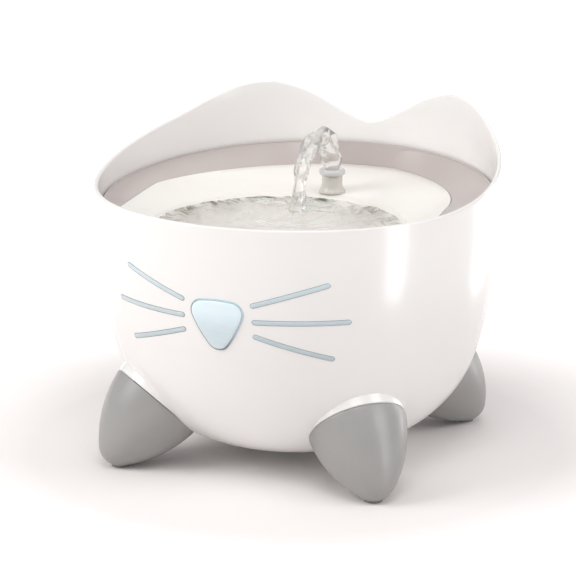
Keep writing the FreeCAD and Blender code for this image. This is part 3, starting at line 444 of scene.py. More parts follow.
class Finish:
    """A node-based material on the object's own coordinates."""

    def __init__(self, name):
        self.material = bpy.data.materials.new(name)
        self.material.use_nodes = True
        self.tree = self.material.node_tree
        self.shader = self.tree.nodes["Principled BSDF"]
        place = self.tree.nodes.new("ShaderNodeTexCoord")
        self.place = place.outputs["Object"]

    def add(self, kind, inputs=None, **settings):
        made = self.tree.nodes.new(kind)
        for key, value in settings.items():
            setattr(made, key, value)
        for key, value in (inputs or {}).items():
            if isinstance(value, bpy.types.NodeSocket):
                self.tree.links.new(value, made.inputs[key])
            else:
                made.inputs[key].default_value = value
        return made

    def set(self, **values):
        """Constants on the shader's own sockets, such as Coat_Weight=0.3."""
        for key, value in values.items():
            self.shader.inputs[key.replace("_", " ")].default_value = value
        return self

    def link(self, socket, key):
        self.tree.links.new(socket, self.shader.inputs[key])
        return self

    def paint(self, tone):
        return self.link(tone, "Base Color")

    def rough(self, *values):
        """Roughness spread from a value, as in spread."""
        return self.link(self.spread(*values), "Roughness")

    def calc(self, operation, *values):
        """Result of a sum on sockets and numbers."""
        return self.add("ShaderNodeMath", dict(enumerate(values)), operation=operation).outputs[0]

    def height(self):
        return self.add("ShaderNodeSeparateXYZ", {0: self.place}).outputs["Z"]

    def stretched(self, x, y, z):
        made = self.add("ShaderNodeMapping", {"Vector": self.place, "Scale": (x, y, z)})
        return made.outputs["Vector"]

    def noise(self, scale, detail=4.0, roughness=0.55, distortion=0.0, vector=None):
        made = self.add("ShaderNodeTexNoise", {
            "Vector": vector or self.place, "Scale": scale, "Detail": detail,
            "Roughness": roughness, "Distortion": distortion})
        return made.outputs["Fac"]

    def cells(self, scale):
        made = self.add("ShaderNodeTexVoronoi", {"Vector": self.place, "Scale": scale})
        return made.outputs["Distance"]

    def spread(self, value, low, high, from_low=0.25, from_high=0.75):
        made = self.add("ShaderNodeMapRange", {
            "Value": value, "From Min": from_low, "From Max": from_high,
            "To Min": low, "To Max": high})
        return made.outputs["Result"]

    def blend(self, factor, first, second):
        made = self.add("ShaderNodeMix", data_type="RGBA")
        self.tree.links.new(factor, made.inputs[0])
        for index, colour in ((6, first), (7, second)):
            if isinstance(colour, bpy.types.NodeSocket):
                self.tree.links.new(colour, made.inputs[index])
            else:
                made.inputs[index].default_value = (*colour[:3], 1.0)
        return made.outputs[2]

    def relief(self, height, strength, distance):
        made = self.add("ShaderNodeBump", {
            "Height": height, "Strength": strength, "Distance": distance})
        return self.link(made.outputs["Normal"], "Normal")


def tint(colour, factor):
    return tuple(min(max(part * factor, 0.0), 1.0) for part in colour[:3])


def moulded(name, colour, roughness, mottle=0.06, grain=900.0, relief=0.12, coat=0.0, warm=0.0):
    """Injection-moulded plastic: slow flow shading, uneven gloss and a fine skin."""
    made = Finish(name)
    flow = made.noise(26.0, 3.0, 0.5)
    fine = made.noise(grain, 5.0, 0.6)
    light = tint(colour, 1.0 + mottle)
    dark = tint(colour, 1.0 - mottle)
    dark = (min(dark[0] + warm, 1.0), dark[1], max(dark[2] - warm, 0.0))
    made.link(made.blend(made.spread(flow, 0.0, 1.0), dark, light), "Base Color")
    made.rough(made.noise(140.0, 4.0), roughness * 0.86, roughness * 1.16)
    made.relief(fine, relief, 0.00006)
    made.set(Coat_Weight=coat, Coat_Roughness=0.08)
    return made.material


def shell_finish(colour):
    """Glossy white plastic, a trace warmer where it is thick, with a faint sink texture."""
    made = Finish("shell_white")
    drift = made.noise(14.0, 2.0, 0.5, 0.4)
    tone = made.blend(made.spread(drift, 0.0, 1.0), tint(colour, 0.985), tint(colour, 1.015))
    specks = made.noise(620.0, 3.0, 0.7)
    tone = made.blend(made.spread(specks, 0.0, 0.03, 0.62, 0.8), tone, tint(colour, 0.8))
    made.paint(tone)
    made.rough(made.noise(90.0, 5.0), 0.2, 0.27)
    wave = made.calc("ADD", made.noise(60.0, 2.0, 0.4), made.noise(1500.0, 3.0))
    made.relief(wave, 0.05, 0.00008)
    made.set(IOR=1.46, Coat_Weight=0.25, Coat_Roughness=0.12, Subsurface_Weight=0.06,
             Subsurface_Scale=0.002)
    made.set(Subsurface_Radius=(1.0, 0.8, 0.7))
    return made.material


def foot_finish(colour):
    """Satin grey plastic with a soft-touch grain, darker in patches near the floor."""
    made = Finish("foot_grey")
    clouds = made.noise(30.0, 4.0, 0.6)
    tone = made.blend(made.spread(clouds, 0.0, 1.0), tint(colour, 0.95), tint(colour, 1.05))
    height = made.height()
    low = made.spread(height, 1.0, 0.0, 0.0, 0.012)
    marks = made.noise(240.0, 6.0, 0.75, 1.2)
    # darker patches within 12 mm of the floor
    low_patches = made.calc("MULTIPLY", low, made.spread(marks, 0.0, 0.5, 0.5, 0.75))
    tone = made.blend(low_patches, tone, tint(colour, 0.7))
    made.paint(tone)
    made.rough(made.noise(200.0, 5.0), 0.36, 0.46)
    made.relief(made.noise(2400.0, 3.0, 0.6), 0.22, 0.00006)
    made.set(IOR=1.5, Coat_Weight=0.08, Coat_Roughness=0.25)
    return made.material


def lens_finish(name, colour, top, bottom, glow):
    """Pale blue diffusing plastic with faint flow streaks, and painted light that makes it lighter
    towards the top.
    """
    made = Finish(name)
    height = made.height()
    # painted light: the colour blends lighter from the bottom height up to the top height
    rise = made.spread(height, 0.0, 1.0, bottom * MM, top * MM)
    streaks = made.noise(160.0, 4.0, 0.6, 0.8, made.stretched(0.5, 0.5, 2.2))
    tone = made.blend(rise, tint(colour, 0.9), tint(colour, 1.16))
    tone = made.blend(made.spread(streaks, 0.0, 0.3), tone, tint(colour, 1.25))
    made.paint(tone)
    made.rough(made.noise(320.0, 4.0), 0.14, 0.24)
    made.relief(made.noise(700.0, 3.0), 0.1, 0.00006)
    made.set(IOR=1.49, Coat_Weight=0.4, Coat_Roughness=0.06, Subsurface_Weight=0.25,
             Subsurface_Scale=0.003, Emission_Color=(*tint(colour, 1.0), 1.0),
             Emission_Strength=glow)
    return made.material


def outline_finish(name, colour, painted_light_tint):
    """Soft seal seen at the edge of the nose and whiskers, with painted light that makes it lighter
    on the upper right and darkest on the lower left.
    """
    made = Finish(name)
    parts = made.add("ShaderNodeSeparateXYZ", {0: made.place}).outputs
    # painted light: blended lighter towards the upper right and darker towards the lower left
    side = made.spread(made.calc("ADD", parts["X"], parts["Z"]), 0.0, 1.0, 0.096, 0.114)
    dust = made.noise(400.0, 4.0, 0.6)
    tone = made.blend(side, tint(colour, 0.8), tint(colour, painted_light_tint))
    tone = made.blend(made.spread(dust, 0.0, 0.25), tone, tint(colour, 1.4))
    made.paint(tone)
    made.rough(dust, 0.32, 0.45)
    made.relief(made.noise(1600.0, 4.0, 0.7), 0.2, 0.00006)
    return made.material


def surround_finish(colour):
    """Warm grey satin plastic with a silky sheen."""
    made = Finish("surround_taupe")
    drift = made.noise(20.0, 3.0, 0.5, 0.3)
    tone = made.blend(made.spread(drift, 0.0, 1.0), tint(colour, 0.97), tint(colour, 1.03))
    made.paint(tone)
    made.rough(made.noise(180.0, 5.0), 0.34, 0.42)
    made.relief(made.noise(2600.0, 3.0, 0.6), 0.14, 0.00006)
    made.set(Coat_Weight=0.12, Coat_Roughness=0.2, Sheen_Weight=0.08)
    return made.material


def dish_finish(colour):
    """Cream food-safe plastic, glossier near the water, with a faint tide mark."""
    made = Finish("dish_cream")
    drift = made.noise(24.0, 3.0, 0.5, 0.5)
    tone = made.blend(made.spread(drift, 0.0, 1.0), tint(colour, 0.975), tint(colour, 1.02))
    height = made.height()
    waver = made.calc("MULTIPLY", made.noise(40.0, 3.0), 0.0012)
    wet = made.spread(made.calc("SUBTRACT", height, waver), 1.0, 0.0, 0.1432, 0.1446)
    tone = made.blend(wet, tone, tint(colour, 0.94))
    made.paint(tone)
    made.rough(wet, 0.34, 0.16, 0.0, 1.0)
    made.relief(made.noise(1800.0, 4.0, 0.6), 0.1, 0.00006)
    made.set(IOR=1.48, Subsurface_Weight=0.08, Subsurface_Scale=0.003, Coat_Weight=0.15,
             Coat_Roughness=0.15)
    return made.material


def water_finish(name, relief, alpha):
    """Clear water with a fine moving skin, part of it plain see-through so light gets in."""
    made = Finish(name)
    made.set(Roughness=0.0, IOR=1.333, Transmission_Weight=1.0, Alpha=alpha)
    fine = made.noise(190.0, 3.0, 0.5, 0.6)
    broad = made.noise(70.0, 2.0, 0.5, 1.0)
    made.relief(made.calc("ADD", fine, broad), relief, 0.0014)
    made.link(made.blend(made.spread(broad, 0.0, 1.0), (0.97, 0.98, 0.975), (1.0, 1.0, 1.0)),
              "Base Color")
    return made


def pool_finish():
    """Pool water with painted dark olive lines, strongest near its edge, which stand in for dark
    reflections in the ripples.
    """
    made = water_finish("pool_water", 0.7, 0.3)
    middle = made.add("ShaderNodeVectorMath", {0: made.place, 1: (0.0, -0.03, 0.1434)},
                      operation="SUBTRACT")
    away = made.add("ShaderNodeVectorMath", {0: middle.outputs[0]}, operation="LENGTH")
    edge = made.spread(away.outputs["Value"], 0.12, 1.0, 0.036, 0.068)
    folds = made.noise(52.0, 3.0, 0.5, 2.0, made.stretched(0.55, 1.5, 1.0))
    line = made.calc("ABSOLUTE", made.calc("SUBTRACT", folds, 0.5))
    # painted reflection: dark olive lines for the dark surroundings seen in the ripples, made less
    # see-through there
    painted_reflection_lines = made.calc("MULTIPLY", made.spread(line, 1.0, 0.0, 0.008, 0.06), edge)
    tone = made.blend(painted_reflection_lines, (0.99, 0.992, 0.985), (0.17, 0.17, 0.135))
    made.paint(tone)
    made.link(made.spread(painted_reflection_lines, 0.3, 1.0, 0.0, 1.0), "Alpha")
    return made.material


def clear_finish(name, colour, roughness, cloud=0.1, see_through=0.75):
    """See-through moulded plastic with a cloudy skin."""
    made = Finish(name)
    haze = made.noise(120.0, 4.0, 0.6)
    tone = made.blend(made.spread(haze, 0.0, 1.0), tint(colour, 1.0 - cloud), colour)
    made.paint(tone)
    made.rough(haze, roughness, roughness + cloud)
    made.relief(made.noise(1400.0, 3.0), 0.12, 0.00006)
    made.set(IOR=1.5, Transmission_Weight=see_through)
    return made.material


def metal_finish(name, colour, roughness, along):
    """Bright metal with fine turning marks across the way it runs."""
    made = Finish(name)
    marks = made.noise(700.0, 6.0, 0.7, 0.0, made.stretched(*along))
    tone = made.blend(made.spread(marks, 0.0, 1.0), tint(colour, 0.82), tint(colour, 1.08))
    made.paint(tone)
    made.rough(marks, roughness * 0.7, roughness * 1.3)
    made.relief(marks, 0.2, 0.00004)
    made.set(Metallic=1.0)
    return made.material


def felt_finish():
    """Needled white felt: crossed fibres with a soft nap."""
    made = Finish("felt_white")
    one = made.noise(900.0, 6.0, 0.7, 2.2, made.stretched(0.35, 1.6, 1.0))
    other = made.noise(900.0, 6.0, 0.7, 2.2, made.stretched(1.6, 0.35, 1.0))
    fibres = made.calc("MULTIPLY", one, other)
    made.link(made.blend(made.spread(fibres, 0.0, 1.0, 0.1, 0.45), (0.62, 0.61, 0.58),
                         (0.9, 0.89, 0.86)), "Base Color")
    made.rough(fibres, 0.85, 0.97, 0.1, 0.45)
    made.relief(fibres, 0.8, 0.0006)
    made.set(Sheen_Weight=0.5, Sheen_Roughness=0.6)
    return made.material


def carbon_finish():
    """Black granules of active carbon seen through a thin mesh bag."""
    made = Finish("carbon_black")
    grains = made.cells(620.0)
    weave = made.add("ShaderNodeTexWave", {"Vector": made.place, "Scale": 420.0,
                                           "Distortion": 1.2}, wave_profile="SIN")
    tone = made.blend(made.spread(grains, 0.0, 1.0, 0.1, 0.8), (0.012, 0.012, 0.013),
                      (0.06, 0.058, 0.055))
    tone = made.blend(made.spread(weave.outputs["Fac"], 0.0, 0.35, 0.7, 1.0), tone,
                      (0.3, 0.3, 0.29))
    made.paint(tone)
    made.rough(grains, 0.45, 0.85, 0.1, 0.8)
    made.relief(grains, 0.7, 0.0008)
    return made.material


def board_finish():
    """Green circuit board with paler tracks under the lacquer."""
    made = Finish("board_green")
    tracks = made.add("ShaderNodeTexBrick", {
        "Vector": made.place, "Scale": 90.0, "Mortar Size": 0.03,
        "Color1": (0.01, 0.12, 0.05, 1.0), "Color2": (0.012, 0.14, 0.06, 1.0),
        "Mortar": (0.1, 0.3, 0.12, 1.0)})
    fleck = made.noise(500.0, 4.0)
    tone = made.blend(made.spread(fleck, 0.0, 0.3), tracks.outputs["Color"], (0.02, 0.2, 0.08))
    made.paint(tone)
    made.rough(fleck, 0.25, 0.4)
    made.relief(tracks.outputs["Fac"], 0.3, 0.00008)
    return made.material


def rubber_finish(name, colour, roughness=0.72):
    """Matt rubber with a dusty bloom."""
    made = Finish(name)
    bloom = made.noise(110.0, 6.0, 0.7, 0.6)
    tone = made.blend(made.spread(bloom, 0.0, 0.5, 0.45, 0.8), colour, tint(colour, 1.9))
    made.paint(tone)
    made.rough(bloom, roughness - 0.08, roughness + 0.08)
    made.relief(made.noise(1600.0, 4.0, 0.7), 0.35, 0.0001)
    return made.material


# Pieces

def bowl_section(angle, radius, wall):
    """The bowl's whole section at one angle: underside, skin, round rim, ledge and inside."""
    side_x = radius - SIDE_ARC
    lean = math.degrees(SIDE_LEAN)
    rim = rim_height(angle)
    round_off = wall / 2
    middle = radius - round_off
    section = [(0.0, UNDERSIDE)] + straight((0.0, UNDERSIDE), (UNDER_ARC_REACH, UNDERSIDE), 3)[:-1]
    section += arc((UNDER_ARC_REACH, UNDERSIDE + UNDER_ARC), UNDER_ARC, -90.0, -lean, 22)
    section += arc((side_x, SHOULDER), SIDE_ARC, -lean, 0.0, 26)[1:]
    section += straight((radius, SHOULDER), (radius, rim - round_off), 9)
    section += arc((middle, rim - round_off), round_off, 0.0, 180.0, 10)[1:]
    inner = radius - wall
    section += straight((inner, rim - round_off), (inner, LEDGE), 9)
    ledge_in = inner - 3.2
    section += [(ledge_in + 0.4, LEDGE), (ledge_in, LEDGE - 0.4), (ledge_in, LEDGE - 1.4)]
    section += straight((ledge_in, LEDGE - 1.6), (inner - 0.55, LEDGE - 5.3), 3)
    inner_lean = math.degrees(math.asin((SHOULDER - 128.0) / SIDE_ARC))
    section += arc((side_x, SHOULDER), SIDE_ARC - wall, -inner_lean, -lean, 18)
    section += arc((UNDER_ARC_REACH, UNDERSIDE + UNDER_ARC), UNDER_ARC - wall, -lean, -90.0, 16)[1:]
    section += [(UNDER_ARC_REACH / 2, UNDERSIDE + wall), (0.0, UNDERSIDE + wall)]
    return section


def add_collar(bm, angle, radius, wall):
    """White collar from the middle of the bowl's wall out to the foot's base."""
    place = foot_place(angle)
    count = 128
    outer = []
    rows = 9
    for step in range(count):
        turn = 2 * math.pi * step / count
        outward = Vector((math.cos(turn), math.sin(turn), 0.0))

        def at(along):
            spread = FOOT_BASE - along / COLLAR_DEPTH * COLLAR_FLARE
            return place @ (outward * spread + Vector((0.0, 0.0, along)))

        near, far = 0.0, -COLLAR_DEPTH
        for _ in range(24):
            half = (near + far) / 2
            if outside_skin(at(half), radius) > -wall / 2:
                near = half
            else:
                far = half
        column = [at(near + (-0.7 - near) * row / (rows - 1)) if near < -0.7
                  else at(near) for row in range(rows)]
        lip = [(FOOT_BASE + 0.05, -0.7), (FOOT_BASE - 0.1, -0.25), (FOOT_BASE - 0.5, -0.02),
               (FOOT_BASE - 1.6, 0.0), (FOOT_BASE - 3.4, 0.0)]
        if near >= -0.7:
            lip = [(r, min(s, near)) for r, s in lip]
        column += [place @ (outward * r + Vector((0.0, 0.0, s))) for r, s in lip]
        outer.append(column)
    add_rows(bm, [list(row) for row in zip(*outer)])


def turned_on_y(profile, x, z, segments=72):
    """Rows of a shape turned about a line along Y, from (radius, y) pairs."""
    rows = []
    for radius, y in profile:
        rows.append([Vector((x + radius * math.cos(2 * math.pi * step / segments), y,
                             z + radius * math.sin(2 * math.pi * step / segments)))
                     for step in range(segments)])
    return rows


class FOUNTAIN_OT_shell(bpy.types.Operator):
    """Make the glossy white tank with its ears, collars, pump seat and inlet boss"""
    bl_idname = "fountain.make_shell"
    bl_label = "Shell"

    def execute(self, context):
        sizes = context.scene.fountain_sizes
        radius = sizes.bowl_radius / MM
        wall = sizes.wall / MM
        bm = bmesh.new()
        columns = 400
        sections = [bowl_section(2 * math.pi * step / columns, radius, wall)
                    for step in range(columns)]
        rows = []
        for index in range(len(sections[0])):
            row = []
            for step in range(columns):
                angle = 2 * math.pi * step / columns
                reach, height = sections[step][index]
                row.append(Vector((reach * math.cos(angle), reach * math.sin(angle), height)))
            rows.append(row)
        add_rows(bm, rows)
        for angle in FOOT_ANGLES.values():
            add_collar(bm, angle, radius, wall)
        add_rows(bm, self.seat_rows(wall))
        boss = [(10.0, 88.0), (10.0, 108.2)] + arc((9.2, 108.2), 0.8, 0.0, 90.0, 5)[1:]
        boss += [(6.05, 109.0), (6.05, 98.0), (0.0, 98.0)]
        add_rows(bm, turned_on_y(boss, 0.0, INLET_HEIGHT))
        finish = shell_finish(context.scene.fountain_colours.shell)
        mesh_piece("tank_shell", bm, [finish], "base", ["outer_shell"])
        return {"FINISHED"}

    def seat_rows(self, wall):
        """Rows of the round pump seat, whose side stands on the middle of the bowl's wall."""
        count = 96
        middle = UNDER_ARC - wall / 2
        rows = [[], [], [], []]
        for step in range(count):
            turn = 2 * math.pi * step / count
            out = Vector((math.cos(turn), math.sin(turn), 0.0))
            edge = Vector((0.0, SEAT_Y, 0.0)) + out * SEAT_RADIUS
            past = max(edge.length - UNDER_ARC_REACH, 0.0)
            edge.z = UNDERSIDE + UNDER_ARC - math.sqrt(middle ** 2 - past ** 2)
            rows[0].append(edge)
            rows[1].append(Vector((edge.x, edge.y, SEAT_TOP - 0.6)))
            rows[2].append(Vector((edge.x, edge.y, SEAT_TOP)) - out * 0.6)
            rows[3].append(Vector((0.0, SEAT_Y, SEAT_TOP)))
        return rows


class FOUNTAIN_OT_feet(bpy.types.Operator):
    """Make the four grey cone feet with their rounded tips"""
    bl_idname = "fountain.make_feet"
    bl_label = "Feet"

    def execute(self, context):
        finish = foot_finish(context.scene.fountain_colours.feet)
        neck, neck_height, length, flank = 9.2, 43.16, 47.06, 75.0
        rise = length - neck_height
        tip = (rise * rise + neck * neck) / (rise * 2)
        mid = ((FOOT_BASE + neck) / 2, neck_height / 2)
        chord = math.hypot(FOOT_BASE - neck, neck_height)
        back = math.sqrt(flank ** 2 - chord ** 2 / 4)
        centre = (mid[0] - neck_height / chord * back, mid[1] - (FOOT_BASE - neck) / chord * back)
        start = math.degrees(math.atan2(-centre[1], FOOT_BASE - centre[0]))
        end = math.degrees(math.atan2(neck_height - centre[1], neck - centre[0]))
        flank_line = arc(centre, flank, start, end, 34)
        tip_start = math.degrees(math.atan2(neck_height - length + tip, neck))
        tip_line = arc((0.0, length - tip), tip, tip_start, 90.0, 14)[1:]
        tip_line[-1] = (0.0, length)
        for name, angle in FOOT_ANGLES.items():
            profile = [(FOOT_BASE - 3.4, 0.25), (FOOT_BASE - 0.9, 0.25), (FOOT_BASE - 0.3, 0.4)]
            profile += flank_line[1:] + tip_line
            bm = bmesh.new()
            turned(bm, profile, 128, foot_place(angle))
            for vert in bm.verts:
                vert.co.z = max(vert.co.z, FOOT_FLAT)
            mesh_piece(name + "_cone", bm, [finish], "base", [name], 50.0)
        return {"FINISHED"}


class FOUNTAIN_OT_face(bpy.types.Operator):
    """Make the nose window, its dark line and the six whisker bars on the bowl's skin"""
    bl_idname = "fountain.make_face"
    bl_label = "Face"

    def execute(self, context):
        sizes = context.scene.fountain_sizes
        colours = context.scene.fountain_colours
        radius = sizes.bowl_radius / MM
        proud = sizes.nose_proud / MM
        # The two heights span the painted light that makes the nose lighter towards the top
        lens = lens_finish("lens_blue", colours.face, 114.0, 102.0, 0.05)
        # The last value sets how much lighter the painted light makes each seal's upper right
        line = outline_finish("gasket_dark", colours.outline, 2.7)
        edge = outline_finish("whisker_edge", colours.outline, 1.25)
        self.make_nose(radius, proud, lens)
        self.make_line(radius, line)
        # The whiskers' two heights span the same painted light, lighter towards the top
        bar = lens_finish("whisker_blue", colours.whiskers, 136.0, 84.0, 0.0)
        half = sizes.whisker_width / MM / 2
        for side, side_name in ((-1, "left"), (1, "right")):
            for which, (inner, outer) in WHISKERS.items():
                name = "whisker_%s_%s" % (side_name, which)
                self.make_whisker(name, side, inner, outer, half, radius, [bar, edge])
        return {"FINISHED"}

    def make_nose(self, radius, proud, finish):
        bm = bmesh.new()
        count = 144
        steps = [(0.0, -2.2), (0.0, 0.3), (0.06, proud * 0.62), (0.3, proud * 0.86),
                 (0.75, proud * 0.97), (1.6, proud), (3.2, proud)]
        rows = []
        for inset, height in steps:
            loop = triangle_outline(0.95 + inset, count)
            rows.append([on_face(p.x, p.y, height, radius) for p in loop])
        middle = Vector((0.0, 108.0))
        inner = triangle_outline(4.15, count)
        for share in (0.8, 0.6, 0.4, 0.2, 0.0):
            rows.append([on_face(p.x, p.y, proud, radius)
                         for p in (middle.lerp(q, share) for q in inner)])
        add_rows(bm, rows)
        mesh_piece("nose_window", bm, [finish], "base", ["nose_lens"], 60.0)

    def make_line(self, radius, finish):
        bm = bmesh.new()
        rows = []
        for inset, height in ((-0.12, -0.6), (-0.1, 0.1), (0.1, 0.42), (0.4, 0.5), (0.75, 0.44),
                              (0.95, 0.2), (0.97, -0.6)):
            rows.append([on_face(p.x, p.y, height, radius) for p in triangle_outline(inset, 144)])
        add_rows(bm, rows)
        mesh_piece("nose_line", bm, [finish], "base", ["nose_gasket"])

    def make_whisker(self, name, side, inner, outer, half, radius, finishes):
        start = Vector((side * inner[0], inner[1]))
        end = Vector((side * outer[0], outer[1]))
        along = (end - start).normalized()
        across = Vector((-along.y, along.x))
        bm = bmesh.new()
        bar_steps = ((half, -0.5), (half, 0.12), (half - 0.12, 0.28), (half - 0.4, 0.37),
                     (half - 0.8, 0.4))
        edge_steps = ((half + 0.34, -0.5), (half + 0.3, 0.06), (half + 0.12, 0.1),
                      (half - 0.06, 0.04))
        for steps, finish in ((bar_steps, 0), (edge_steps, 1)):
            rows = []
            for reach, height in steps:
                loop = self.divided(self.loop_at(start, end, along, across, reach))
                rows.append([on_face(p.x, p.y, height, radius) for p in loop])
            if finish == 0:
                spine = [Vector(start.lerp(end, self.share(p, start, end))) for p in
                         self.divided(self.loop_at(start, end, along, across, half - 0.8))]
                rows.append([on_face(p.x, p.y, 0.4, radius) for p in spine])
            add_rows(bm, rows, finish=finish)
        mesh_piece(name + "_bar", bm, finishes, "base", [name], 60.0)

    def loop_at(self, start, end, along, across, reach):
        loop = []
        for centre, sign in ((end, 1), (start, -1)):
            for step in range(13):
                turn = math.pi * (step / 12 - 0.5)
                loop.append(centre + (along * math.cos(turn) + across * math.sin(turn))
                            * reach * sign)
        return loop

    def share(self, point, start, end):
        line = end - start
        return min(max((point - start).dot(line) / line.length_squared, 0.0), 1.0)

    def divided(self, loop):
        """The loop with its two long sides cut up, so that they follow the bowl's curve."""
        points = []
        for index, here in enumerate(loop):
            ahead = loop[(index + 1) % len(loop)]
            points.append(here)
            if index in (12, 25):
                points += [here.lerp(ahead, step / 24) for step in range(1, 24)]
        return points


class FOUNTAIN_OT_surround(bpy.types.Operator):
    """Make the warm grey band and its skirt that rests on the tank's ledge"""
    bl_idname = "fountain.make_surround"
    bl_label = "Surround"

    def execute(self, context):
        bm = bmesh.new()
        columns = 360
        outer, inner = SKIRT_OUTER, SKIRT_INNER
        columns_of_skirt = []
        for step in range(columns):
            angle = 2 * math.pi * step / columns
            ux, uy = math.cos(angle), math.sin(angle)
            top = wall_line(116.4 * uy)
            section = [(outer, LEDGE), (outer, top - 0.7), (outer - 0.3, top - 0.2),
                       (outer - 0.7, top), (inner + 0.3, top), (inner, top - 0.3), (inner, LEDGE)]
            columns_of_skirt.append([Vector((r * ux, r * uy, z)) for r, z in section])
        add_rows(bm, [list(row) for row in zip(*columns_of_skirt)], closed_columns=True)
        steps = 300
        sections = []
        for step in range(steps + 1):
            angle = math.radians(90.0 - CRESCENT_SPAN / 2 + CRESCENT_SPAN * step / steps)
            sections.append(self.crescent_section(angle))
        add_rows(bm, sections)
        finish = surround_finish(context.scene.fountain_colours.surround)
        mesh_piece("warm_grey_band", bm, [finish], "tray", ["tray_surround"])
        return {"FINISHED"}

    def crescent_section(self, angle):
        """Closed section of the crescent from the skirt to the dish's edge."""
        ring = 116.0
        x, y = ring * math.cos(angle), ring * math.sin(angle)
        start = Vector((x, y, wall_line(y) - 0.45))
        pool_angle = math.atan2(y - POOL_Y, x)
        reach = dish_edge_radius(pool_angle)
        ix, iy = reach * math.cos(pool_angle), POOL_Y + reach * math.sin(pool_angle)
        end = Vector((ix, iy, dish_edge_height(iy)))
        length = max((end - start).length, 0.001)
        way = (end - start) / length
        round_off = min(0.7, length * 0.4)
        down = Vector((0.0, 0.0, -1.0))
        points = [start + way * (length - round_off) * share for share in
                  (0.0, 0.08, 0.25, 0.5, 0.75, 0.92, 1.0)]
        for turn in (25.0, 50.0, 75.0):
            tip = math.radians(turn)
            points.append(end - way * round_off * (1 - math.sin(tip))
                          + down * round_off * (1 - math.cos(tip)))
        points.append(end + down * 1.0)
        shelf = (Vector((ix, iy, 0.0)) - Vector((0.0, POOL_Y, 0.0))).normalized()
        points.append(end + down * 2.3)
        points.append(end - shelf * 5.0 + down * 2.3)
        points.append(end - shelf * 5.0 + down * 4.0)
        points.append(end + shelf * 0.8 + down * 4.0)
        points.append(start + down * 2.4)
        return points


